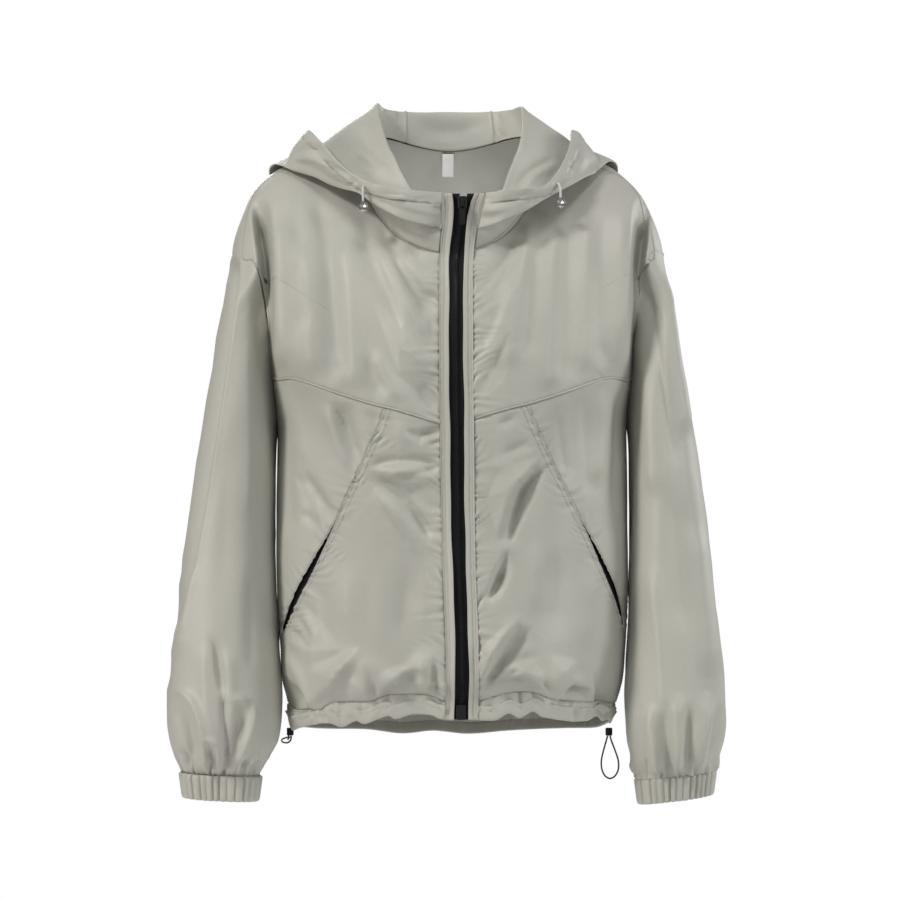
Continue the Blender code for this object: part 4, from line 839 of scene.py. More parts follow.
# The casing seam and the hem's lower edge in front, in pixels of the picture, as the elastic draws them.
CASING_LINE = [
    (280, 706), (290, 710), (317, 710), (333, 702), (372, 701), (388, 694.5), (428, 694.5), (443, 701),
    (455, 703), (470, 702), (485, 699), (500, 694.5), (515, 692), (533, 692), (546, 697), (562, 702),
    (590, 702), (605, 703), (620, 701),
]
HEM_LINE = [
    (280, 729), (289, 731), (298, 728), (307, 725.5), (328, 722.5), (342, 726.5), (355, 720.5),
    (364, 723.5), (388, 715.5), (395, 718.5), (412, 714), (431, 714.5), (440, 718.5), (453, 718.5),
    (469, 719.5), (496, 719.5), (509, 713), (520, 717.5), (533, 711), (542, 716.5), (569, 720.5),
    (588, 720.5), (597, 716), (603, 720.5), (612, 716), (620, 709),
]


def hem_shift(points):
    """Raises and lowers the front's cloth near the hem, so that seam and edge follow their lines."""
    px, py = seen_at(points)
    lines = []
    for row, table in ((CASING_ROW, CASING_LINE), (HEM_ROW, HEM_LINE)):
        turns = np.linspace(-90, 90, 121)
        plain_x, plain_y = seen_at(torso_plain(np.stack([np.full(121, row), turns], axis=-1)))
        wanted = smooth(table, np.interp(px, [x for x, _ in table], np.arange(len(table))))[..., 1]
        plain = np.interp(px, plain_x, plain_y)
        lines.append((plain, wanted - plain))
    (seam, seam_move), (edge, edge_move) = lines
    move = seam_move * ease((py - seam + 40) / 40)
    move = move + (edge_move - seam_move) * np.clip((py - seam) / (edge - seam), 0, 1.3)
    sides = ease((175 - np.abs(points[..., 0])) / 14) * (points[..., 1] < 0) * ease(-points[..., 1] / 30)
    points = points.copy()
    points[..., 2] -= move * sides * PIXEL * (1 + points[..., 1] / CAMERA_DISTANCE)
    return points


PIECES = {}                             # finished surfaces, on which the stitches are laid later
# How much deeper and wider the creases are made than the tables say, so that they show as in the picture.
CHEST_DEEPER, CHEST_WIDER, FRONT_DEEPER, FRONT_WIDER = 2.2, 1.45, 2.1, 1.1
CRUMPLE_DEEPER, PUCKER_DEEPER, BACK_DEEPER = 2.4, 2.0, 2.6
BODY_WAVES = 0.22                       # mm of the cloth's slight waviness


def facing(outward, least, span=0.3, front=True):
    """Share of a front or back crease that each place takes, by the way it faces."""
    return ease(((least - outward[..., 1]) if front else (outward[..., 1] - least)) / span)


def body_points(pairs, opened=None):
    """Finished mm points of the body's cloth, with its folds and puckers, and their directions."""
    points, outward = torso(pairs), torso_normal(pairs)
    if opened is not None:
        points = opened(points)
    px, py = seen_at(points)
    depth = unevenness(points, BODY_WAVES)
    front = facing(outward, 0.12)
    if front.any():
        folds = CHEST_DEEPER * fold_depths(CHEST_FOLDS, px, py, CHEST_WIDER)
        folds = folds + FRONT_DEEPER * fold_depths(FRONT_FOLDS, px, py, FRONT_WIDER)
        folds += CRUMPLE_DEEPER * crumple_heights(CRUMPLES, px, py)
        depth += front * (folds + PUCKER_DEEPER * pucker_depths(PUCKERS, px, py))
    back = facing(outward, 0.05, front=False)
    if back.any():
        depth += back * BACK_DEEPER * fold_depths(BACK_FOLDS, px, py)
    return hem_shift(points + outward * depth[..., None])


def cut_piece(name, grid, node, sides, closed=False, outward=None):
    """A finished panel: its sewn sides drawn in, its wall made, and its grid kept for the stitches."""
    outward = grid_normals(grid, closed) if outward is None else outward
    grid = tucked(grid, outward, sides, closed)
    PIECES[name] = (grid, outward)
    made = shell(name, grid, shell_nylon, NYLON, closed, outward)
    settle(made, node)
    return made


def mouth_gap(z):
    """How far the pocket's mouth stands open at the heights z, in mm."""
    return MOUTH_WIDTH * ease((MOUTH_TOP - z) / MOUTH_LENGTH)


for letter, side in SIDES.items():
    seams = SEAMS[letter]
    start_row = seams.yoke_inner[0][0]
    placket = at_placket(np.linspace(NECK_ROW, start_row, 40), side)
    neck = np.stack([np.zeros(9), np.linspace(placket[0][1], SHOULDER_SEAM[0][1] * side, 9)], axis=-1)
    armhole = np.vstack([seams.shoulder, seams.armhole[1:]])
    yoke_line = np.vstack([seams.yoke_inner, seams.yoke_outer[1:]])
    down, across = shares_of(250, PANEL_STEP), shares_of(200, PANEL_STEP)
    pairs = crossing(placket, neck, armhole, yoke_line, down, across)
    cut_piece("front_yoke." + letter, body_points(pairs), "front_yoke_" + letter, "tlBR",
              outward=torso_normal(pairs))

    across = shares_of(95, PANEL_STEP)

    def mouth(points):
        """Moves the side panel back from the centre panel where the pocket is open."""
        span = np.linalg.norm(points[:, -1] - points[:, 0], axis=-1)
        opened = np.minimum(mouth_gap(points[:, 0, 2]), span / 3)
        away = unit(points[:, 1] - points[:, 0])
        return points + away[:, None] * opened[:, None, None] * (1 - across)[None, :, None]

    right = np.vstack([seams.armhole[-1:], seams.side_high])
    low_edge = np.vstack([seams.pocket[-1], seams.side_high[-1]])
    pairs = crossing(seams.pocket, seams.yoke_outer, right, low_edge, shares_of(255, PANEL_STEP), across)
    cut_piece("front_side." + letter, body_points(pairs, mouth), "front_side_" + letter, "tr",
              outward=torso_normal(pairs))

    left = at_placket(np.linspace(start_row, CASING_ROW, 60), side)
    right = np.vstack([seams.pocket, seams.side_low])
    angle = at_placket([CASING_ROW], side)[0][1]
    casing = np.stack([np.full(20, CASING_ROW), np.linspace(angle, side * 90.0, 20)], axis=-1)
    pairs = crossing(left, seams.yoke_inner, right, casing, shares_of(300, PANEL_STEP),
                     shares_of(120, PANEL_STEP * 0.8))
    cut_piece("front_centre." + letter, body_points(pairs), "front_centre_" + letter, "tbl",
              outward=torso_normal(pairs))

left, right = (np.vstack([one.shoulder, one.armhole_back[1:], one.side_high[1:], one.side_low[1:]])
               for one in (SEAMS["l"], SEAMS["r"]))
right = right + (0.0, 360.0)
top = np.stack([np.zeros(20), np.linspace(SHOULDER_SEAM[0][1], 360 - SHOULDER_SEAM[0][1], 20)], axis=-1)
bottom = np.stack([np.full(30, CASING_ROW), np.linspace(90.0, 270.0, 30)], axis=-1)
pairs = crossing(left, top, right, bottom, shares_of(620, BACK_STEP), shares_of(480, BACK_STEP * 0.85))
cut_piece("back_panel", body_points(pairs), "back", "tblr")

# ---------------------------------------------------------------- sleeves and cuffs
# Full sleeves of the same nylon, one cut each, sewn round the dropped armholes and gathered at the wrist
# into cuffs: a folded band over wide elastic, closed to a ring and sewn to the sleeve's end.
# A sleeve's column seen from the front: height, outer and inner edge, then the depth of its middle and
# its half depth.
SleeveRow = namedtuple("SleeveRow", "z outer inner middle_y half_y")
SLEEVE = {
    "r": records(
        SleeveRow,
        (-100, 225, 180, 2, 60), (-140, 232, 184, 0, 70), (-200, 242, 186, -2, 78),
        (-260, 252.5, 185.5, -4, 80), (-320, 262, 185, -8, 76), (-380, 270.5, 184, -12, 72),
        (-440, 278.5, 181, -16, 68), (-500, 284, 179, -19, 65), (-550, 289, 177, -21, 62),
        (-590, 292, 176.5, -23, 60), (-612, 289, 179, -24, 56), (-630, 284, 187, -25, 47),
        (-640, 279.5, 193, -25, 38), (-646, 277.5, 196.5, -25, 32),
    ),
    "l": records(
        SleeveRow,
        (-100, 220, 188, 2, 60), (-140, 228, 192, 0, 70), (-200, 236.5, 194, -2, 78),
        (-260, 247, 192.5, -4, 80), (-320, 257, 191, -8, 76), (-380, 265, 189.5, -12, 72),
        (-440, 272, 187.5, -16, 68), (-500, 278.5, 186, -19, 65), (-550, 283.5, 184.5, -21, 62),
        (-590, 285.5, 183.5, -23, 60), (-612, 283, 184, -24, 56), (-630, 276.5, 188, -25, 47),
        (-640, 274, 191, -25, 38), (-646, 273, 193, -25, 32),
    ),
}
SEAM_PULL, SEAM_DROP = 46.0, 0.45       # how far down the armhole shapes the sleeve, and the gap below it
SLEEVE_WAVES, SLEEVE_DEEPER, SLEEVE_BACK_DEEPER, SIDE_RIDGES = 0.3, 2.5, 2.3, 3.2
GATHER_DEPTH, GATHER_SPACING, GATHER_REACH = 5.0, 7.4, 23.0
CUFF_TILT = {"r": 2.0, "l": 5.0}
CUFF_HEIGHT, CUFF_TAPER, CUFF_BAND = 26.0, 3.5, 1.7
# The cuff's cloth: half width and depth of a deep gather, half width and height of a pillow between them.
TRENCH_HALF, TRENCH_DEPTH, PILLOW_HALF, PILLOW_HEIGHT = 0.95, 2.8, 3.2, 1.3
SLEEVE_FOLDS = records(
    Fold,
    (236, 254, 209, 445, 176, 634, 5, -3.4), (243, 254, 217, 443, 183.5, 634, 2.6, 1),
    (196, 560, 188, 600, 180, 660, 7, 1.6), (212, 632, 217, 664, 224, 704, 7, -2.8, 0.45),
    (223, 690, 225, 730, 228, 776, 3.4, -2.8), (228, 640, 229, 690, 233, 740, 7, 1.8),
    (206, 640, 206, 690, 214, 750, 7, 1.5), (242, 703, 241, 722, 231, 772, 8, -4.2),
    (252, 702, 251, 728, 236, 768, 4, 2.4), (230, 702, 240, 699, 250, 706, 3.5, 1.6),
    (178, 698, 184, 722, 197, 772, 8, -3.6, 0.8), (172, 693, 196, 708, 206, 774, 3.5, 2.6),
    (197, 748, 208, 754, 212, 776, 4.5, -2.6), (200, 741, 217, 745, 219, 772, 3, 1.8),
    (252, 757, 246, 766, 240, 777, 3, -2.3), (264, 757, 257, 764, 248, 777, 3, -2.3),
    (259, 748, 252, 760, 245, 774, 3.4, 1.5), (176, 750, 184, 758, 190, 774, 3.5, -2.4),
    (249, 560, 252, 620, 250, 680, 10, -1), (224, 430, 226, 500, 222, 590, 12, -0.9),
    (246, 330, 248, 420, 246, 520, 9, 1), (256, 292, 259, 360, 264, 440, 6, -0.9),
    (684, 650, 688, 690, 691, 776, 6, -2.8), (676, 640, 679, 680, 682, 728, 7, 1.5),
    (697, 640, 698, 680, 699, 706, 7, 1.5), (702, 707, 703, 730, 694, 772, 7, -4),
    (694, 708, 703, 703, 712, 709, 3.5, 1.6), (711, 712, 709, 738, 697, 772, 3.4, 2.2),
    (673, 737, 677, 754, 684, 776, 6.5, -3.6), (664, 742, 673, 733, 683, 742, 3.2, 1.6),
    (665, 742, 668, 760, 673, 780, 3.2, 1.8), (644, 728, 649, 750, 660, 779, 5, -2.6),
    (655, 706, 652, 738, 664, 772, 6, 1.8), (630, 753, 637, 768, 645, 782, 4, -2.6),
    (707, 755, 704, 763, 701, 774, 3, -2.2), (717, 753, 713, 763, 708, 773, 3, -2.2),
    (636, 650, 638, 700, 640, 745, 8, 1.4), (664, 600, 668, 650, 668, 700, 10, -1.2),
    (652, 420, 650, 520, 654, 640, 11, 1.2), (672, 380, 680, 480, 690, 600, 12, -1.1),
    (664, 262, 672, 320, 684, 420, 8, 1.3), (646, 292, 646, 360, 642, 450, 6, -1.3),
    (700, 560, 708, 620, 712, 690, 8, 1.2), (638, 470, 640, 560, 637, 650, 8, -1),
)


def mirrored(*rows):
    """Creases of the back, and the same ones in mirror image."""
    rows, wide = records(Fold, *rows), FRAME_PIXELS
    return rows + [row._replace(start_x=wide - row.start_x, middle_x=wide - row.middle_x,
                                end_x=wide - row.end_x) for row in rows]


SLEEVE_BACK_FOLDS = mirrored(
    (236, 270, 226, 350, 212, 440, 9, -2.6), (250, 285, 240, 370, 222, 470, 8, 2.2),
    (260, 320, 250, 400, 246, 500, 9, -2.4), (232, 480, 220, 560, 214, 640, 12, 2.2),
    (206, 520, 200, 600, 190, 680, 10, -2.4), (250, 560, 240, 640, 236, 720, 9, -2.2),
    (190, 690, 196, 730, 202, 776, 7, -3.6), (210, 700, 212, 738, 212, 776, 6, 2.4),
) + records(
    Fold,
    (178, 700, 184, 735, 192, 774, 6, 2.2), (222, 690, 222, 735, 220, 776, 6, -3.4),
    (236, 705, 234, 740, 230, 776, 5, 2.2), (248, 700, 246, 738, 238, 776, 6, -3.4),
    (258, 720, 256, 745, 250, 776, 5, 2), (182, 740, 186, 758, 190, 776, 4, -2.4),
    (720, 700, 714, 735, 706, 774, 6, 2.2), (678, 690, 678, 735, 680, 778, 6, -3.4),
    (664, 705, 666, 740, 670, 780, 5, 2.2), (650, 700, 654, 738, 660, 780, 6, -3.4),
    (640, 720, 644, 745, 648, 780, 5, 2),
)
# Pixel columns of the cuffs' deep gathers in front; the hidden half has as many.
CUFF_GATHERS = {"r": [187, 192.4, 200.4, 206.5, 213, 219, 226.8, 235, 243.6, 249, 254.8, 258.6],
                "l": [642, 651, 657, 664, 670, 676.5, 683, 690.4, 696, 700.5, 705.5, 710]}
# Where a sleeve's inner side lies close to the body: the height, how far it reaches and by how much, in mm.
LEANS = {"r": [(-330, 70, 4.2), (-530, 35, 1.5), (-570, 30, 2.6)],
         "l": [(-335, 80, 4.6), (-450, 50, 1.6), (-550, 45, 4.0)]}


def sleeve_column(letter, z, angle):
    """Points of the sleeve's own tube; angle is 0 outside, 90 in front and 180 inside."""
    row = at_height(SLEEVE[letter], z)
    turn = np.radians(angle)
    middle, half = (row[..., 1] + row[..., 2]) / 2, (row[..., 1] - row[..., 2]) / 2
    x = middle + half * power(np.cos(turn), 0.9)
    return np.stack([SIDES[letter] * x, row[..., 3] - row[..., 4] * power(np.sin(turn), 0.9), z], axis=-1)


def armhole_starts(seams, angles):
    """mm points of the armhole at each angle, by their share of its length, with the armpit at 180."""
    ring = np.vstack([seams.armhole, seams.armpit, seams.armhole_back[-2:0:-1], seams.armhole[:1]])
    fine = even_points(ring, 400, torso_plain)
    points = torso(fine)
    run = run_along(points)
    whole = run[-1]
    crest, low = run[np.argmax(np.abs(points[:-1, 0]))], run[np.argmin(points[:, 2])]
    half = np.mod(low - crest, whole)
    share = np.where(angles <= 180, angles / 180 * half, half + (angles - 180) / 180 * (whole - half))
    share = np.mod(share + crest, whole)
    return np.stack([np.interp(share, run, points[:, k]) for k in range(3)], axis=-1)


def gathers(run, height, spacing, reach, seed):
    """Uneven small pleats that stand up from a gathered seam; run is mm along it and height mm above."""
    wave = run / spacing
    phase = 2 * np.pi * wave + 1.6 * np.sin(2.3 * wave + seed) + 1.2 * np.sin(0.83 * wave + 2 * seed)
    tall = reach * (0.55 + 0.45 * np.sin(1.37 * wave + seed) ** 2)
    strong = 0.6 + 0.4 * np.sin(2.9 * wave + 3 * seed)
    return -strong * (0.5 - 0.5 * np.cos(phase)) ** 2.2 * np.exp(-(np.maximum(height, 0) / tall) ** 1.5)


for letter, side in SIDES.items():
    seams, end = SEAMS[letter], SLEEVE[letter][-1].z
    angles = np.linspace(0, 360, 169)[:-1]
    starts = armhole_starts(seams, angles)
    shares = np.concatenate([[0, 0.0016, 0.0035, 0.007, 0.012], np.linspace(0.018, 0.80, 120),
                             np.linspace(0.806, 0.985, 46), [0.989, 0.993, 0.9965, 1.0]])[:, None]
    tilt = CUFF_TILT[letter] * np.cos(np.radians(angles))
    heights = starts[:, 2] + (end + tilt - starts[:, 2]) * shares
    column = sleeve_column(letter, heights, np.broadcast_to(angles, heights.shape))
    column[..., 2] = heights
    pull = np.exp(-((starts[:, 2] - heights) / SEAM_PULL) ** 2 * 2.0)
    own = sleeve_column(letter, starts[:, 2], angles)
    deep = ease((starts[:, 2].max() - 14.0 - starts[:, 2]) / 30.0)
    room = np.stack([side * (SEAM_DROP / 2 + 1.3 * deep), np.zeros(len(angles)),
                     np.full(len(angles), -SEAM_DROP)], axis=-1)
    tube = column + (starts - own + room) * pull[..., None]
    inner = ease((-np.cos(np.radians(angles)) - 0.1) / 0.9)
    for height, reach, amount in LEANS[letter]:
        tube[..., 0] -= side * amount * inner * np.exp(-((tube[..., 2] - height) / reach) ** 2)
    outward = grid_normals(tube, closed=True)
    px, py = seen_at(tube)
    front, back = facing(outward, 0.10), facing(outward, 0.05, front=False)
    above = tube[..., 2] - (end + tilt)
    around = line_runs(tube[-1], 0)
    depth = unevenness(tube, SLEEVE_WAVES) + front * SLEEVE_DEEPER * fold_depths(SLEEVE_FOLDS, px, py)
    depth += back * SLEEVE_BACK_DEEPER * fold_depths(SLEEVE_BACK_FOLDS, px, py)
    drag = tube[..., 2] / 44.0 + angles / 34.0 + 0.9 * np.sin(tube[..., 2] / 83.0 + side)
    ridges = (1 - np.abs(np.sin(drag))) ** 2 * (0.6 + 0.4 * np.sin(tube[..., 2] / 61.0 + 2 * side))
    depth += (1 - front) * (1 - back) * SIDE_RIDGES * ridges * ease(above / 60.0)
    depth *= ease(above / 9.0) * 0.8 + 0.2
    pleats = gathers(around, above, GATHER_SPACING, GATHER_REACH, 1.0 if side > 0 else 2.6)
    depth += GATHER_DEPTH * pleats * ease(above / 1.5 + 0.3)
    depth *= ease((starts[:, 2] - heights) / 10.0)
    grid = tube + outward * depth[..., None]
    cut_piece("sleeve." + letter, grid, "sleeve_" + letter, "tb", closed=True)

    turns = np.linspace(0, 360, 4 * 73)[:-1]
    top_line = sleeve_column(letter, np.full(turns.shape, end), turns)
    wrist = SLEEVE[letter][-1]
    middle = np.array([side * (wrist.outer + wrist.inner) / 2, wrist.middle_y])
    px, _ = seen_at(top_line)
    shown = (turns > 5) & (turns < 175)
    order = np.argsort(px[shown])
    deep_at = np.interp(CUFF_GATHERS[letter], px[shown][order], turns[shown][order])
    deep_at = np.concatenate([deep_at, 360 - deep_at + 4.0 * np.sin(np.arange(len(deep_at)) * 2.3)])
    run = line_runs(top_line, 0)
    whole = run[-1] + np.linalg.norm(top_line[0] - top_line[-1])
    sites = np.sort(np.mod(np.interp(np.mod(deep_at, 360), turns, run), whole))
    away = run[:, None] - sites[None]
    away = (away + whole / 2) % whole - whole / 2
    strength = 0.75 + 0.35 * np.sin(np.arange(len(sites)) * 1.9 + side)
    nearest = np.abs(away).min(axis=1)
    trench = (strength * np.exp(-(np.abs(away) / TRENCH_HALF) ** 1.5)).sum(axis=1)
    pillow = PILLOW_HEIGHT * np.minimum(nearest / PILLOW_HALF, 1.0) ** 0.6
    # The band's section runs down outside, round the lower edge and up inside.
    section = [
        (0.0, 0.0), (0.012, 0.55), (0.06, 0.9), (0.2, 1.0), (0.4, 1.0), (0.6, 1.0), (0.8, 1.0),
        (0.92, 0.95), (0.97, 0.75), (1.0, 0.3), (1.005, -0.2), (0.99, -0.7), (0.95, -0.95), (0.8, -1.0),
        (0.5, -1.0), (0.2, -1.0), (0.05, -1.0),
    ]
    rows = []
    for down, out in section:
        shrink = 1 - CUFF_TAPER * min(down, 1.0) / 40
        points = top_line.copy()
        points[:, :2] = middle + (top_line[:, :2] - middle) * shrink
        away_from = unit(np.hstack([points[:, :2] - middle, points[:, :1] * 0]))
        lip = np.where(out > -0.9, 1.0, 0.3)
        swell = out * CUFF_BAND + lip * (pillow - TRENCH_DEPTH * trench)
        swell = swell * (0.35 + 0.65 * ease(np.array(down * 12 + 0.2)))
        points = points + away_from * swell[:, None]
        points[:, 2] = end + CUFF_TILT[letter] * np.cos(np.radians(turns)) - 0.3 - CUFF_HEIGHT * down
        points[:, 2] += 0.5 * trench * ease(np.array((down - 0.7) / 0.3))
        rows.append(points)
    cuff = shell("cuff." + letter, np.array(rows), shell_nylon, closed=True)
    settle(cuff, "cuff_" + letter)

# ---------------------------------------------------------------- hood
# Two side cuts and a centre strip of the nylon, sewn together, then sewn round the neck.  The hood lies
# open: it stands up to a ridge, falls over the shoulders to a fold and comes up outside to its free edge,
# which is turned in over the drawcord to a stitched channel.
HoodRow = namedtuple("HoodRow", "angle ridge_x ridge_y ridge_z fold_x fold_y fold_z edge_x edge_y edge_z")
HOOD = {
    "r": records(
        HoodRow,
        (6.9, 9.4, -101, -84, 9.4, -101.5, -86, 8.4, -103, -52),
        (15, 22, -100, -72, 22, -106, -84, 22, -107, -51), (27, 40, -94, -48, 46, -112, -79, 44, -112, -49),
        (40, 51, -82, -26, 71, -102, -66, 66, -110, -46), (52, 58, -66, -10, 93, -88, -51, 87, -98, -39),
        (64, 65, -46, 4, 118, -62, -42, 107, -82, -26), (76, 70, -20, 22, 145, -38, -29, 127, -60, -3),
        (90, 74, 8, 40, 167, -14, -22, 142, -34, 14), (104, 76, 34, 51, 177, 14, -24, 148, -4, 20),
        (120, 70, 54, 48, 168, 66, -62, 150, 40, 16), (136, 58, 64, 46, 134, 116, -116, 130, 84, 8),
        (150, 47, 70, 45.5, 86, 146, -154, 84, 115, 0), (180, 0, 74, 45.5, 0, 158, -172, 0, 128, -6),
    ),
    "l": records(
        HoodRow,
        (15.7, 28.9, -101, -84, 29, -101.5, -86, 36.2, -103, -52),
        (22.5, 40, -98, -72, 42, -107, -84, 46, -107, -51),
        (31, 53, -92, -48, 61, -112, -77, 57, -112, -49), (42, 59, -80, -31, 80, -102, -67, 76, -110, -48),
        (53, 65, -65, -16, 101, -88, -54, 96, -98, -44), (64, 73, -46, 7, 125, -62, -40, 108, -84, -32),
        (76, 75, -20, 25, 143, -38, -30, 119, -62, -12), (90, 75, 8, 41, 155, -14, -23, 124.5, -36, 6),
        (104, 74.5, 34, 48, 163, 14, -20, 127, -4, 20), (120, 66, 54, 47, 158, 66, -60, 138, 40, 16),
        (136, 54, 64, 46, 128, 116, -116, 124, 84, 8), (150, 43, 70, 45.5, 82, 146, -154, 80, 115, 0),
        (180, 0, 74, 45.5, 0, 158, -172, 0, 128, -6),
    ),
}
LAST_STATION = 12                       # the middle of the back of the neck
RIDGE_ROUND, FOLD_ROUND, OUTER_BELLY, STAND_LIFT, STAND_INSET, REST_CLEAR = 9.0, 12.0, 7.0, 1.1, 0.5, 7.2
BEYOND, HOOD_WAVES = 0.02, 0.55         # stations beyond a cut's ends, and mm of the cloth's waviness
CHANNEL = 11.0                          # width of the drawcord's channel at the free edge
LIP = [(-0.2, 0.45), (-0.7, 0.7), (-1.2, 0.45), (-1.4, 0.0), (-1.4, -3.0), (-1.4, -7.0), (-1.3, -CHANNEL)]
HOOD_FOLDS = records(
    Fold,
    (287, 163, 310, 147, 326, 162, 4.5, -3.2), (320, 156, 333, 167, 346, 172, 3.5, -2.2),
    (290, 168, 308, 158, 332, 171, 4, 2.2), (338, 167, 345, 173, 351, 177, 2.5, -1.6),
    (349, 174, 354, 181, 356, 191, 2.5, -1.6), (342, 172, 347, 179, 349, 188, 2.5, 1.2),
    (343, 161, 357, 158, 377, 173, 3.5, -2.6), (346, 168, 360, 171, 376, 181, 6, -2.2),
    (322, 137, 355, 149, 393, 178, 5, 1.8), (345, 122, 366, 144, 392, 168, 6, -1.2),
    (357, 116, 380, 142, 398, 168, 5, 1.1), (386, 184, 402, 187, 415, 188, 4, -1.5),
    (375, 190, 410, 199, 446, 199, 4, -1.4), (430, 206, 438, 209, 448, 212, 3, -1.8),
    (396, 204, 424, 212, 447, 218, 5, 1.5), (428, 224, 438, 229, 448, 231, 3, -1.5),
    (395, 214, 401, 228, 409, 241, 3, -1.6), (405, 226, 424, 233, 446, 240, 4, 1.2),
    (515, 188, 535, 167, 560, 159, 3.5, -2.8), (521, 191, 541, 172, 560, 164, 4.5, 2.2),
    (541, 184, 552, 176, 560, 166, 4, -1.4), (524, 118, 538, 132, 552, 138, 5, -1),
    (472, 196, 504, 200, 534, 191, 4, -1.9), (473, 207, 502, 210, 535, 199, 5, 1.9),
    (473, 217, 490, 218, 506, 214, 4, -1.3), (474, 229, 486, 231, 498, 228, 3, -1.6),
    (505, 238, 513, 226, 519, 216, 2.6, -1.8), (512, 238, 520, 225, 529, 212, 3, 1.5),
    (566, 172, 572, 164, 580, 155, 3.5, -1.8), (575, 176, 581, 165, 586, 152, 4, 1.4),
    (560, 176, 566, 170, 570, 164, 2.5, 1.3), (590, 172, 590, 160, 584, 146, 5, -1.2),
    (491, 126, 505, 139, 521, 144, 3.5, -2.8), (489, 132, 502, 144, 516, 147, 4, 1.6),
    (384, 141, 393, 136, 402, 127, 3, -2.4), (410, 126, 450, 131, 488, 126, 8, -2.4),
    (404, 117, 450, 119, 490, 117, 5, 1.4), (418, 140, 440, 143, 462, 143, 4, 1.2),
)
HOOD_BACK_FOLDS = mirrored(
    (330, 150, 352, 200, 400, 250, 9, -3.2), (318, 170, 345, 226, 395, 270, 8, 3),
    (352, 140, 380, 180, 420, 215, 9, 2.6), (300, 160, 316, 196, 340, 232, 7, -2.4),
) + records(
    Fold,
    (400, 190, 450, 222, 500, 190, 9, -3), (392, 225, 450, 258, 508, 225, 8, 2.8),
    (405, 250, 450, 284, 495, 250, 7, -2.6), (420, 160, 428, 200, 440, 240, 8, 1.8),
    (480, 160, 472, 200, 460, 240, 8, -1.8), (386, 165, 402, 196, 432, 224, 6, -2),
    (514, 165, 498, 196, 468, 224, 6, 2),
)


def rounded(a, corner, b, reach, parts):
    """A soft turn whose crest is the corner itself, from near a to near b."""
    start = corner + (a - corner) * min(reach / max(np.linalg.norm(a - corner), 1e-6), 0.3)
    end = corner + (b - corner) * min(reach / max(np.linalg.norm(b - corner), 1e-6), 0.3)
    pull = 2 * corner - (start + end) / 2
    t = np.linspace(0, 1, parts + 1)[:, None]
    return start * (1 - t) ** 2 + pull * 2 * t * (1 - t) + end * t * t


def straight(a, b, parts, bulge=0.0):
    t = np.linspace(0, 1, parts + 1)[:, None]
    return a + (b - a) * t + bulge * np.sin(np.pi * t)


rest_rows, rest_turns = np.meshgrid(np.linspace(0, 7, 60), np.linspace(-180, 177, 120), indexing="ij")
rest_pairs = np.stack([rest_rows.ravel(), rest_turns.ravel()], axis=-1)
rest_points, rest_outward = torso_plain(rest_pairs), torso_normal(rest_pairs)
rest_tree = KDTree(len(rest_points))
for k, place in enumerate(rest_points):
    rest_tree.insert(place, k)
rest_tree.balance()


def lifted_clear(point):
    """The point, moved out where it would touch the cloth of the shoulders and back."""
    for _ in range(3):
        _, index, _ = rest_tree.find(point)
        height = np.dot(point - rest_points[index], rest_outward[index])
        if height < REST_CLEAR:
            point = point + rest_outward[index] * (REST_CLEAR - height)
    return point


def hood_profile(letter, station):
    """The hood's cloth at one station round the neck, from the neck seam to the free edge."""
    if station > LAST_STATION:
        letter, station = ("l" if letter == "r" else "r"), 2 * LAST_STATION - station
    side = SIDES[letter]
    row = HoodRow(*smooth(HOOD[letter], station))
    seam = torso_plain([NECK_ROW, side * row.angle])
    seam[:2] *= 1 - STAND_INSET / np.linalg.norm(seam[:2])
    seam[2] += STAND_LIFT
    ridge = np.array([side * row.ridge_x, row.ridge_y, row.ridge_z])
    fold = np.array([side * row.fold_x, row.fold_y, row.fold_z])
    edge = np.array([side * row.edge_x, row.edge_y, row.edge_z])
    outward = np.array([fold[0], fold[1], 0.0]) / max(math.hypot(fold[0], fold[1]), 1e-6)
    turn = rounded(seam, ridge, fold, RIDGE_ROUND, 8)
    under = rounded(ridge, fold, edge, FOLD_ROUND, 12)
    belly = OUTER_BELLY * min(np.linalg.norm(edge - fold) / 120, 1.0)
    stand = straight(seam, turn[0], 12)
    inner = straight(turn[-1], under[0], 18)
    outer = straight(under[-1], edge, 16, outward * belly)
    outer = np.vstack([outer[:-1], straight(outer[-2], outer[-1], 3)[1:]])
    lying = [lifted_clear(point) for point in np.vstack([inner[1:], under[1:], outer[1:]])]
    return np.vstack([stand, turn[1:], lying])


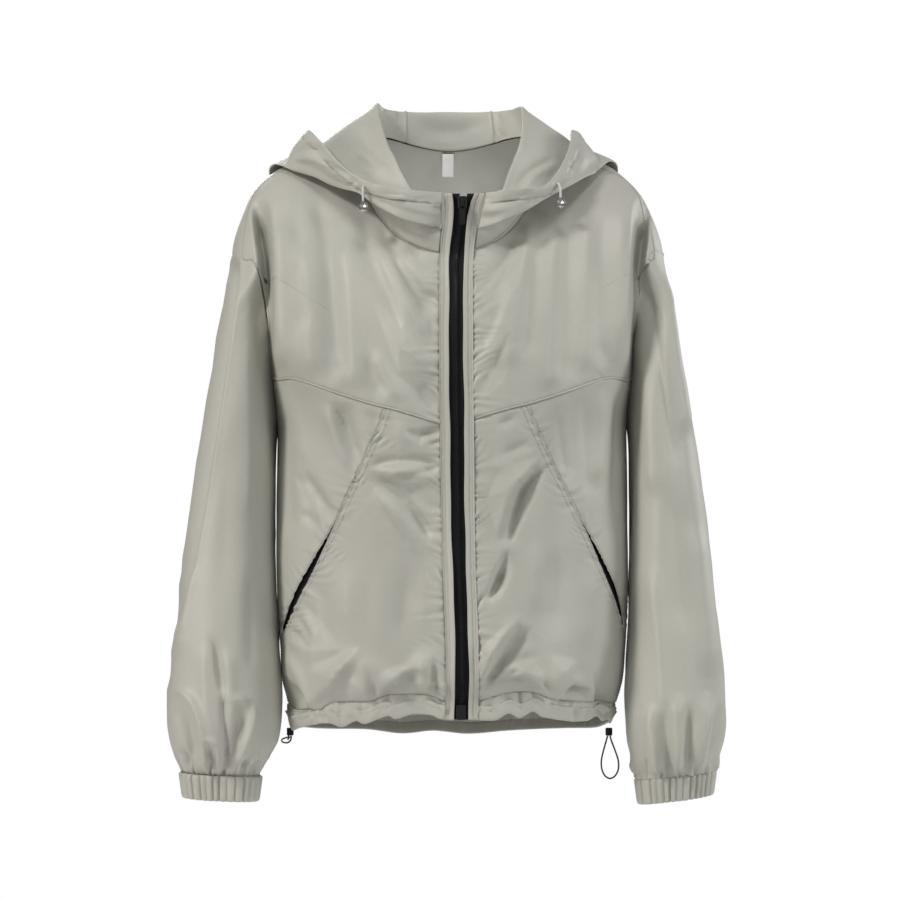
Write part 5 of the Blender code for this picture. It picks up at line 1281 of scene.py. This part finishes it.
def hood_piece(letter, stations):
    """Grid of one cut of the hood between two stations, with its creases, channel and turned-in edge."""
    before, after = (hood_profile(letter, stations[k] + step) for k, step in ((0, -BEYOND), (-1, BEYOND)))
    rows = [before] + [hood_profile(letter, station) for station in stations] + [after]
    grid = np.array(rows if letter == "l" else rows[::-1])
    outward = grid_normals(grid)
    px, py = seen_at(grid)
    shown = -np.sign(outward[..., 1]) * ease(np.abs(outward[..., 1]) / 0.4)
    depth = unevenness(grid, HOOD_WAVES) + shown * fold_depths(HOOD_FOLDS, px, py)
    behind = ease(outward[..., 1] / 0.35) * ease((grid[..., 1] - 20) / 40)
    depth += behind * fold_depths(HOOD_BACK_FOLDS, px, py)
    from_edge, from_seam = line_runs(grid[:, ::-1], 1)[:, ::-1], line_runs(grid, 1)
    depth *= ease(from_seam / 8.0 + 0.1)
    channel = ease((CHANNEL - from_edge) / 1.2)
    groove = np.exp(-((from_edge - CHANNEL) / 0.8) ** 2)
    along = line_runs(grid, 0)
    puckered = 0.5 * np.sin(along / 2.6 + 1.5 * np.sin(along / 9.0))
    puckered = puckered * np.exp(-np.abs(from_edge - CHANNEL) / 4.0)
    depth += 0.6 * channel - 0.75 * groove + puckered
    grid = (grid + outward * depth[..., None])[1:-1]
    outward = grid_normals(grid)
    up = unit(grid[:, -1] - grid[:, -3])
    lip = [grid[:, -1] + outward[:, -2] * out + up * rise for out, rise in LIP]
    grid = np.concatenate([grid, np.stack(lip, axis=1)], axis=1)
    return grid


# Each front wall has one upright slot where the drawcord comes out.
SLOT = {"r": (-87.6, -96.5, -44), "l": (108.9, -85, -40)}
OUTER_COLUMNS = slice(-25, -len(LIP) - 1)       # the outer wall's part of a profile


def slot_cells(grid, place):
    """The two cells of the outer wall that are nearest to a slot's place, one above the other."""
    centres = (grid[:-1, :-1] + grid[1:, 1:]) / 2
    away = np.full(centres.shape[:2], 1e9)
    away[:, OUTER_COLUMNS] = np.linalg.norm(centres - place, axis=-1)[:, OUTER_COLUMNS]
    row, column = np.unravel_index(np.argmin(away), away.shape)
    other = column + (1 if away[row, column + 1] < away[row, column - 1] else -1)
    return [(row, column), (row, other)]


SIDE_STATIONS = np.concatenate([[0, 0.03, 0.07], np.arange(0.13, 10.85, 0.062), [10.9, 10.94, 10.97, 11.0]])
CENTRE_STATIONS = 11 + np.concatenate([[0, 0.02, 0.04], np.arange(0.07, 1.94, 0.045), [1.96, 1.98, 2.0]])
for name, node, letter, stations, flat in (
        ("hood_side.l", "hood_side_l", "l", SIDE_STATIONS, (0.42, 0.34, 0.075)),
        ("hood_side.r", "hood_side_r", "r", SIDE_STATIONS, (0.42, 0.34, 0.075)),
        ("hood_centre", "hood_centre", "r", CENTRE_STATIONS, (0.19, 0.40, 0.068))):
    grid = hood_piece(letter, stations)
    outward = grid_normals(grid)
    grid = tucked(grid, outward, "lbt")
    PIECES[name] = (grid, outward)
    slot = slot_cells(grid, SLOT[letter]) if node != "hood_centre" else ()
    hood = shell(name, grid, shell_nylon, holes=slot)
    settle(hood, node)

# ---------------------------------------------------------------- hem casing
# The hem is turned up and stitched to a channel round the jacket, in two fronts and a back.  The elastic
# cord in it draws the cloth into uneven scallops.
HEM_LIP = [(-0.3, 0.5), (-1.0, 0.8), (-1.7, 0.5), (-2.0, -0.2), (-2.0, -4.0), (-2.0, -9.0), (-1.8, -14.0)]
CASING_SWELL, CASING_WAVES, CASING_DEEPER = 1.3, 0.35, 1.9
CASING_FOLDS = records(
    Fold,
    (320, 707, 325, 715, 331, 724, 2.6, -1.6), (344, 712, 354, 718, 366, 725, 2.8, -1.6),
    (386.5, 694, 386.5, 705, 387, 717, 2.6, -2.4), (396, 699, 405, 702, 414, 700, 3, -1.8),
    (310, 712, 312, 718, 309, 726, 2.6, -1.2), (372, 704, 376, 711, 374, 720, 2.6, 1.3),
    (336, 704, 338, 714, 342, 726, 3, 1.5), (428, 697, 433, 706, 431, 716, 2.6, -1.6),
    (418, 698, 420, 706, 418, 716, 4, 1.4), (487, 700, 490, 709, 496, 720, 2.8, -1.6),
    (502, 696, 506, 704, 509, 714, 2.8, -1.5), (519, 690, 520, 702, 520, 718, 2.8, -2.2),
    (531, 693, 533, 702, 534, 712, 2.6, -1.6), (544, 698, 545, 708, 543, 718, 2.6, 1.4),
    (570, 704, 574, 712, 572, 722, 3, -1.4), (588, 703, 590, 712, 588, 722, 3, 1.2),
    (597, 700, 600, 708, 604, 716, 2.6, -1.8), (298, 710, 298, 718, 298, 729, 1, -0.9),
)


def hem_rows(span, steps):
    """(ring, angle) rows of the casing between the angles of its ends."""
    rows = np.concatenate([[0, 0.035, 0.08], np.linspace(0.15, 1.0, 9)])
    turns = span[0] + (span[1] - span[0]) * shares_of(steps, 2.0)
    rings = CASING_ROW + (HEM_ROW - CASING_ROW) * rows
    return np.stack(np.meshgrid(rings, turns, indexing="ij"), axis=-1), rows


left_end, right_end = (at_placket([CASING_ROW], side)[0][1] for side in (1.0, -1.0))
for name, node, span, steps, flat in (
        ("hem_front.l", "hem_front_l", (left_end, 90.0), 170, (0.20, 0.05, 0.0098)),
        ("hem_front.r", "hem_front_r", (-90.0, right_end), 170, (0.21, 0.05, 0.0104)),
        ("hem_back", "hem_back", (90.0, 270.0), 430, (0.47, 0.05, 0.0228))):
    pairs, down = hem_rows(span, steps)
    points, outward = torso(pairs), torso_normal(pairs)
    px, py = seen_at(points)
    run = line_runs(points[-1], 0)
    front = facing(outward, 0.12)
    depth = CASING_SWELL * np.sin(np.pi * down)[:, None] ** 0.7 + unevenness(points, CASING_WAVES)
    depth = depth + front * CASING_DEEPER * fold_depths(CASING_FOLDS, px, py)
    spacing = 11.0 if node == "hem_back" else 9.0
    depth += (3.4 if node == "hem_back" else 1.6) * gathers(run, 14.0 * down[:, None], spacing, 16.0, steps)
    depth += 1.4 * (1 - ease(down[:, None] / 0.6)) * gathers(run, 10.0 * down[:, None], 6.5, 9.0, steps + 1)
    grid = hem_shift(points + outward * depth[..., None])
    if node == "hem_back":
        sway = np.sin(run / 17.0 + 1.4 * np.sin(run / 41.0)) * ease(run / 25) * ease((run[-1] - run) / 25)
        grid[..., 2] += (1.6 * sway)[None] * ease(down)[:, None]
    sewn = grid_normals(grid)
    fall = unit(grid[-1] - grid[-3])
    lip = [grid[-1] + sewn[-2] * out + fall * drop for out, drop in HEM_LIP]
    grid = np.concatenate([grid, np.stack(lip)])
    cut_piece(name, grid, node, "tlr")

# ---------------------------------------------------------------- plackets
# A folded band of the nylon along each side of the zip, from the hood's top to the hem, with one row of
# stitches; the tight stitching puckers the fronts beside it.
ZIP_TOP = -52.0
BAND_STITCHES = 6.4                     # where the stitches draw the band in, from its zip side
BAND_LIP = [(-0.25, 0.4), (-0.8, 0.6), (-1.2, 0.3), (-1.3, -0.3), (-1.3, -2.5), (-1.2, -5.0)]


def even_steps(top, low, step):
    return np.linspace(top, low, int(round((top - low) / step)) + 1)


def upright_grid(x, y, z):
    """Grid of mm points whose rows have one depth and one height each."""
    y, z = (np.broadcast_to(row[:, None], x.shape) for row in (y, z))
    return np.stack([x, y, z], axis=-1)


for letter, side in SIDES.items():
    z = even_steps(ZIP_TOP, TORSO[-1].front_z, 2.2)
    middle, half, depth = zip_line(z)
    across = np.array([0.0, 0.5, 1.2, 2.2, 3.4, 4.6, 5.8, 6.7, 7.4, 8.0, 8.5, PLACKET_WIDTH])
    grid = upright_grid(middle[:, None] + side * (half[:, None] + across), depth, z)
    outward = grid_normals(grid) * -side
    wave = np.sin(z / 2.1 + 1.6 * np.sin(z / 9.3 + side)) * (0.6 + 0.4 * np.sin(z / 14.0 + side))
    relief = 0.35 * wave[:, None] * np.exp(-np.abs(across - BAND_STITCHES) / 2.2) + 0.5 * ease(across / 1.5)
    relief = relief - 0.55 * np.exp(-((across - BAND_STITCHES) / 0.5) ** 2)
    swell = 0.5 * np.sin(z / 37.0 + side) + 0.35 * np.sin(z / 19.0 + 2 * side)
    grid = grid + outward * (relief + swell[:, None])[..., None]
    sway = 0.35 * np.sin(z / 23.0 + side) + 0.25 * np.sin(z / 11.0)
    grid[:, :, 0] += side * sway[:, None] * (1 - across / PLACKET_WIDTH)
    inward = unit(grid[:, 0] - grid[:, 2])
    lip = [grid[:, 0] + outward[:, 2] * out + inward * beyond for out, beyond in BAND_LIP[::-1]]
    grid = np.concatenate([np.stack(lip, axis=1), grid], axis=1)
    outward = grid_normals(grid) * -side
    seam_side = grid[:, ::-1].swapaxes(0, 1)
    for k, drawn in TUCK.items():
        seam_side[k] -= outward[:, ::-1].swapaxes(0, 1)[k] * drawn
    band = shell("placket." + letter, grid, shell_nylon)
    settle(band, "placket_" + letter)
    PIECES["placket." + letter] = (grid, outward)

# ---------------------------------------------------------------- front zip
# Two woven black tapes with moulded black teeth, closed by a slider with a hanging pull, and held at the
# bottom by the pin and box.  The tapes are sewn behind the plackets.
TAPE_BEHIND, TAPE_UNDER, TAPE, RIB = 1.6, 3.0, 0.55, 1.25
TOOTH_PITCH = 1.7
CHAIN_TOP, CHAIN_BOTTOM, TAPE_BOTTOM, NOTCH = -68.1, -569.0, -584.5, -62.0


def woven_tape(name):
    """Black polyester tape: close twill across, with a faint shine along the ribs."""
    recipe = Recipe(name, Sheen_Weight=0.0, Specular_IOR_Level=0.25)
    across, down, _ = recipe.split(recipe.cloth_map())
    twill = ((across + down) * 7500.0).sine() * ((across - down) * 7500.0).sine()
    cloud = recipe.noise(recipe.place(), 30.0, 2.0)
    tone = (twill * 0.25 + cloud).within(0.2, 0.8)
    colour = recipe.mix(tone, (0.003, 0.003, 0.0035, 1), (0.007, 0.007, 0.008, 1))
    surface = recipe.bump(twill, 0.4, 0.00012)
    return recipe.finish(Base_Color=colour, Roughness=twill * 0.08 + 0.7, Normal=surface)


tape_black = woven_tape("zip_tape")
zip_plastic = black_plastic("zip_teeth", 0.42)


def ribbed(grid, across, ribs_from, outward):
    """Lets the lengthwise ribs of a woven tape stand up from its face."""
    rib = 0.16 * np.cos(2 * np.pi * (across - ribs_from) / RIB)
    return grid + outward * np.broadcast_to(rib, grid.shape[:2])[..., None]


for letter, side in SIDES.items():
    z = even_steps(ZIP_TOP, TAPE_BOTTOM, 3.0)
    middle, half, depth = zip_line(z)
    parting = 0.2 + 3.6 * ease((z - NOTCH) / 8.0)
    share = np.linspace(0, 1, 34)
    x = middle[:, None] + side * (parting[:, None] + (half + TAPE_UNDER - parting)[:, None] * share)
    grid = upright_grid(x, depth + TAPE_BEHIND, z)
    outward = grid_normals(grid) * -side
    grid = ribbed(grid, np.abs(x - middle[:, None]), 1.3, outward)
    tape = shell("zip_tape." + letter, grid, tape_black, TAPE)
    settle(tape, "zip_tape_" + letter)


def small_piece(name, solid):
    """An object of its own for a small piece that is set many times."""
    mesh = bpy.data.meshes.new(name)
    solid.to_mesh(mesh)
    solid.free()
    return bpy.data.objects.new(name, mesh)


def tooth(side):
    """One moulded tooth, wider at the head that grips the other side; x runs down the zip."""
    solid = bmesh.new()
    half = [(-1.3, 0.34), (-0.2, 0.34), (0.2, 0.52), (0.9, 0.52), (1.3, 0.26)]
    outline = half + [(across, -along) for across, along in reversed(half)]
    corners = [solid.verts.new((along * MM, -0.9 * MM, -side * across * MM)) for across, along in outline]
    pushed = bmesh.ops.extrude_face_region(solid, geom=[solid.faces.new(corners)])
    moved = [g for g in pushed["geom"] if isinstance(g, bmesh.types.BMVert)]
    bmesh.ops.translate(solid, verts=moved, vec=(0, 1.5 * MM, 0))
    for vert in solid.verts:
        if vert.co.y < 0:
            vert.co.x *= 0.8
            vert.co.z *= 0.88
    bmesh.ops.recalc_face_normals(solid, faces=solid.faces[:])
    return small_piece("tooth", solid)


class Repeat:
    """A node tree that sets one small piece at even steps along curves."""

    def __init__(self, name):
        self.tree = bpy.data.node_groups.new(name, "GeometryNodeTree")
        face = self.tree.interface
        face.new_socket("Paths", in_out="INPUT", socket_type="NodeSocketGeometry")
        self.inputs = {}
        kinds = {"Piece": "Object", "Step": "Float", "Finish": "Material", "Uneven": "Float"}
        for label, kind in kinds.items():
            made = face.new_socket(label, in_out="INPUT", socket_type="NodeSocket" + kind)
            self.inputs[label] = made.identifier
        face.new_socket("Result", in_out="OUTPUT", socket_type="NodeSocketGeometry")
        way_in = self.tree.nodes.new("NodeGroupInput")
        way_out = self.tree.nodes.new("NodeGroupOutput")
        points = self.add("GeometryNodeCurveToPoints", {"mode": "LENGTH"}, Curve=way_in.outputs["Paths"],
                          Length=way_in.outputs["Step"])
        piece = self.add("GeometryNodeObjectInfo", None, Object=way_in.outputs["Piece"])
        jitter = self.add("FunctionNodeRandomValue", {"data_type": "FLOAT_VECTOR"}, Seed=7)
        jitter.inputs[0].default_value = (-1.0, -1.0, -1.0)
        jitter.inputs[1].default_value = (1.0, 1.0, 1.0)
        scaled = self.add("ShaderNodeVectorMath", {"operation": "SCALE"}, Scale=way_in.outputs["Uneven"])
        self.tree.links.new(jitter.outputs[0], scaled.inputs[0])
        moved = self.add("GeometryNodeSetPosition", None, Geometry=points.outputs["Points"],
                         Offset=scaled.outputs[0])
        turned = self.add("FunctionNodeAlignRotationToVector", {"axis": "X"},
                          Vector=points.outputs["Tangent"])
        placed = self.add("GeometryNodeInstanceOnPoints", None, Points=moved.outputs[0],
                          Instance=piece.outputs["Geometry"], Rotation=turned.outputs[0])
        real = self.add("GeometryNodeRealizeInstances", None, Geometry=placed.outputs[0])
        finish = self.add("GeometryNodeSetMaterial", None, Geometry=real.outputs[0],
                          Material=way_in.outputs["Finish"])
        self.tree.links.new(finish.outputs[0], way_out.inputs[0])

    def add(self, kind, settings=None, **sockets):
        made = self.tree.nodes.new(kind)
        for key, value in (settings or {}).items():
            setattr(made, key, value)
        for key, value in sockets.items():
            if isinstance(value, bpy.types.NodeSocket):
                self.tree.links.new(value, made.inputs[key])
            else:
                made.inputs[key].default_value = value
        return made

    def along(self, name, paths, piece, step, material, uneven=0.0):
        """One plain mesh of all the pieces along the mm paths."""
        curve = bpy.data.curves.new(name, "CURVE")
        curve.dimensions = "3D"
        for path in paths:
            spline = curve.splines.new("POLY")
            spline.points.add(len(path) - 1)
            flat = np.concatenate([np.asarray(path) * MM, np.ones((len(path), 1))], axis=1)
            spline.points.foreach_set("co", flat.ravel())
        carrier = linked(name + "_paths", curve)
        nodes = carrier.modifiers.new("repeat", "NODES")
        nodes.node_group = self.tree
        values = {"Piece": piece, "Step": step * MM, "Finish": material, "Uneven": uneven * MM}
        for label, value in values.items():
            nodes[self.inputs[label]] = value
        graph = bpy.context.evaluated_depsgraph_get()
        mesh = bpy.data.meshes.new_from_object(carrier.evaluated_get(graph))
        carrier.modifiers.clear()
        bpy.data.objects.remove(carrier)
        return linked(name, mesh)


row_of_pieces = Repeat("row_of_pieces")
rows = []
for letter, side in SIDES.items():
    z = even_steps(CHAIN_TOP - (0 if side > 0 else TOOTH_PITCH / 2), CHAIN_BOTTOM, 4.0)
    middle, _, depth = zip_line(z)
    path = np.stack([middle + side * 0.9, depth - 0.3, z], axis=-1)
    one = tooth(side)
    rows.append(row_of_pieces.along("zip_teeth_" + letter, [path], one, TOOTH_PITCH, zip_plastic))
    bpy.data.objects.remove(one)
for row in rows:
    settle(row, "zip_chain")
for node in ("zip_slider", "zip_pull", "zip_box"):
    dress(node, zip_plastic)

# ---------------------------------------------------------------- pocket zips
# A slanting mouth between side and centre panel, closed behind by a narrow black zip.  Only its ribbed
# strip shows, without teeth.  It is stitched in behind the edges of both panels.
POCKET_BACK, POCKET_HALF, TOWARDS_SIDE = 3.6, 6.5, 0.62
for letter, side in SIDES.items():
    pairs = even_points(SEAMS[letter].pocket[3:], 60, torso_plain)
    along, outward = torso(pairs), torso_normal(pairs)
    across_way = unit(np.cross(outward, np.gradient(along, axis=0)))
    across = np.linspace(-1, 1, 16) * POCKET_HALF
    moved = across_way * (side * TOWARDS_SIDE * mouth_gap(along[:, 2]))[:, None]
    grid = (along + moved - outward * POCKET_BACK)[:, None] + across_way[:, None] * across[None, :, None]
    raised = np.broadcast_to(outward[:, None], grid.shape)
    grid = ribbed(grid, np.broadcast_to(across, grid.shape[:2]), 0.0, raised)
    strip = shell("pocket_zip." + letter, grid, tape_black, TAPE)
    settle(strip, "pocket_zip_" + letter)

# ---------------------------------------------------------------- label
# A small tab of white woven satin, left blank.  Its top edge is held in the neck seam, and the rest hangs
# free inside the back of the neck.
low, high = (np.array(corner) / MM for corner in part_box("neck_label"))
x = np.linspace(low[0], high[0], 13)
z = np.linspace(high[2], low[2], 25)
grid = np.stack(np.meshgrid(x, z), axis=-1)
bend = 0.25 * np.sin((grid[..., 1] - low[2]) / 5.0) + 0.12 * np.sin(grid[..., 0] / 2.2)
grid = np.stack([grid[..., 0], (low[1] + high[1]) / 2 + bend, grid[..., 1]], axis=-1)
satin = Recipe("label_satin", Sheen_Weight=0.2)
across, down, _ = satin.split(satin.cloth_map())
threads = (down * 14000.0).sine() * 0.6 + (across * 9000.0).sine() * 0.4
edge = satin.noise(satin.place(), 60.0, 2.0)
colour = satin.mix((threads * 0.1 + edge).within(0.3, 0.7), (0.74, 0.74, 0.73, 1), (0.84, 0.84, 0.83, 1))
surface = satin.bump(threads, 0.3, 0.0001)
white_satin = satin.finish(Base_Color=colour, Roughness=edge * 0.1 + 0.45, Normal=surface)
label = shell("neck_tab", grid, white_satin)
settle(label, "neck_label")

# ---------------------------------------------------------------- topstitching
# Rows of lockstitch in polyester thread that hold down the seams, the hood's channel, the hem
# and the sleeves' gathered ends.  The thread is darker than the cloth, partly its own tone and partly
# painted shade of the stitched line.  Each row runs at an even distance from the edge of its piece.
STITCH_STEP, STITCH_LENGTH, THREAD = 3.1, 2.3, 0.62
STITCH_BODY, STITCH_UNEVEN = 0.7, 0.05  # share of a stitch that is full thick, and mm it may stray
Row = namedtuple("Row", "piece edge inset")


def on_both(piece, edge, inset):
    """The same row of stitches on the left and the right piece."""
    return [Row(piece + ".l", edge, inset), Row(piece + ".r", edge, inset)]


STITCH_ROWS = {
    "yoke_stitches": on_both("front_yoke", "b", 3.2),
    "armhole_stitches": on_both("front_yoke", "r", 3.2),
    "pocket_stitches": on_both("front_side", "l", 1.9) + on_both("front_centre", "r", 1.9)
    + on_both("front_centre", "r", 7.0),
    "front_stitches": on_both("placket", "r", 2.6),
    "hem_stitches": on_both("hem_front", "t", 1.9) + [Row("hem_back", "t", 1.9)],
    "hood_stitches": [Row(piece, "r", CHANNEL) for piece in ("hood_side.l", "hood_centre", "hood_side.r")],
    "hood_seam_stitches": [Row("hood_side.l", "b", 3.0), Row("hood_side.r", "t", 3.0)],
    "sleeve_stitches": on_both("sleeve", "b", 2.6),
}


def beside_edge(row):
    """mm points on a finished surface at an even distance from one of its edges."""
    grid, outward = PIECES[row.piece]
    if row.piece.startswith("sleeve"):
        grid, outward = (np.concatenate([part, part[:, :1]], axis=1) for part in (grid, outward))
    if row.edge in "lr":
        grid, outward = grid.swapaxes(0, 1), outward.swapaxes(0, 1)
    if row.edge in "br":
        grid, outward = grid[::-1], outward[::-1]
    run = line_runs(grid, 0)
    beyond = np.argmax(run >= row.inset, axis=0)
    line = np.arange(grid.shape[1])
    near, far = run[beyond - 1, line], run[beyond, line]
    f = ((row.inset - near) / (far - near))[:, None]
    places = grid[beyond - 1, line] * (1 - f) + grid[beyond, line] * f
    return places + outward[beyond, line] * (NYLON / 2 + THREAD * 0.2)


def stitch():
    """One stitch: a short flattened thread with rounded ends, lying along x."""
    solid = bmesh.new()
    radius, lying = THREAD / 2 * MM, Matrix.Rotation(math.radians(90), 4, "Y")
    bmesh.ops.create_cone(solid, cap_ends=True, segments=6, radius1=radius, radius2=radius,
                          depth=STITCH_LENGTH * STITCH_BODY * MM, matrix=lying)
    for face in [face for face in solid.faces if len(face.verts) == 6]:
        poked = bmesh.ops.poke(solid, faces=[face])["verts"][0]
        poked.co.x *= 1 / STITCH_BODY
    return small_piece("stitch", solid)


def thread(name, light, dark):
    """Twisted polyester thread."""
    recipe = Recipe(name, Sheen_Weight=0.2)
    x, y, z = recipe.split(recipe.place())
    twist = ((x + y + z) * 9000.0).sine() * 0.5 + 0.5
    colour = recipe.mix(twist, (*dark, 1.0), (*light, 1.0))
    surface = recipe.bump(twist, 0.3, 0.0001)
    return recipe.finish(Base_Color=colour, Roughness=twist * 0.1 + 0.5, Normal=surface)


# Thread well darker than the cloth: partly its own tone, partly painted shade along the stitch line.
thread_with_painted_shade = thread("thread", (0.34, 0.335, 0.29), (0.22, 0.216, 0.186))
one = stitch()
for name, rows in STITCH_ROWS.items():
    paths = [beside_edge(row) for row in rows]
    made = row_of_pieces.along(name, paths, one, STITCH_STEP, thread_with_painted_shade, STITCH_UNEVEN)
    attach(made, "jacket")
bpy.data.objects.remove(one)

# ---------------------------------------------------------------- studio
# A plain white sweep below and behind, and large soft lights from the upper left, the right and above.
# A small weak light shows the inside of the neck, and two light the back.
STUDIO_FLOOR = -900.0
SWEEP_LIGHT = 0.17


def area_light(name, place, target, size, watts, colour=(1.0, 1.0, 1.0), spread=180):
    lamp = bpy.data.lights.new(name, "AREA")
    lamp.shape = "RECTANGLE"
    lamp.size, lamp.size_y = size
    lamp.energy = watts
    lamp.color = colour
    lamp.spread = math.radians(spread)
    made = linked(name, lamp)
    made.location = place
    made.visible_camera = False
    made.rotation_euler = (Vector(target) - Vector(place)).to_track_quat("-Z", "Y").to_euler()


CHEST, MIDDLE = (0, 0, -0.35), (0, 0, -0.3)     # what the lights are aimed at, in metres
area_light("key", (-2.3, -2.0, 2.3), CHEST, (0.6, 0.6), 70, (1.0, 0.99, 0.975))
area_light("fill", (2.2, -2.9, 0.6), CHEST, (1.2, 1.4), 24, (0.97, 0.985, 1.0))
area_light("left", (-2.7, -1.9, 0.0), CHEST, (0.6, 0.9), 29, (1.0, 0.96, 0.93))
area_light("right", (2.9, -0.7, 0.3), CHEST, (0.8, 1.2), 31)
area_light("top", (0.1, -1.4, 2.4), MIDDLE, (0.7, 0.7), 18)
area_light("inside", (0.0, -0.02, -0.24), (0.0, 0.1, -0.03), (0.1, 0.1), 0.06, spread=80)
area_light("rear", (-0.5, 2.9, 0.9), MIDDLE, (1.3, 1.0), 30)
area_light("rear_fill", (2.6, 2.4, 0.4), MIDDLE, (1.4, 1.4), 22)

floor_finish = Recipe("studio_floor", roughness=0.9)
pale = floor_finish.noise(floor_finish.place(), 0.6)
floor_finish.finish(Base_Color=floor_finish.mix(pale, (0.83, 0.83, 0.83, 1), (0.86, 0.86, 0.86, 1)))
floor_mesh = bpy.data.meshes.new("studio_floor")
corners = [(x, y, STUDIO_FLOOR * MM) for x, y in ((-1, -1), (1, -1), (1, 1), (-1, 1))]
floor_mesh.from_pydata(corners, [], [(0, 1, 2, 3)])
floor_mesh.materials.append(floor_finish.material)
studio_floor = linked("studio_floor", floor_mesh)

# The sweep is seen as pure white and lights the cloth with only a part of that.
world = bpy.data.worlds.new("studio")
bpy.context.scene.world = world
world.use_nodes = True
sweep = world.node_tree.nodes["Background"]
sweep.inputs["Color"].default_value = (1.0, 1.0, 1.0, 1.0)
seen = world.node_tree.nodes.new("ShaderNodeLightPath")
strength = world.node_tree.nodes.new("ShaderNodeMapRange")
strength.inputs["To Min"].default_value = SWEEP_LIGHT
strength.inputs["To Max"].default_value = 1.0
world.node_tree.links.new(seen.outputs["Is Camera Ray"], strength.inputs["Value"])
world.node_tree.links.new(strength.outputs["Result"], sweep.inputs["Strength"])
bpy.context.scene.view_settings.view_transform = "Standard"
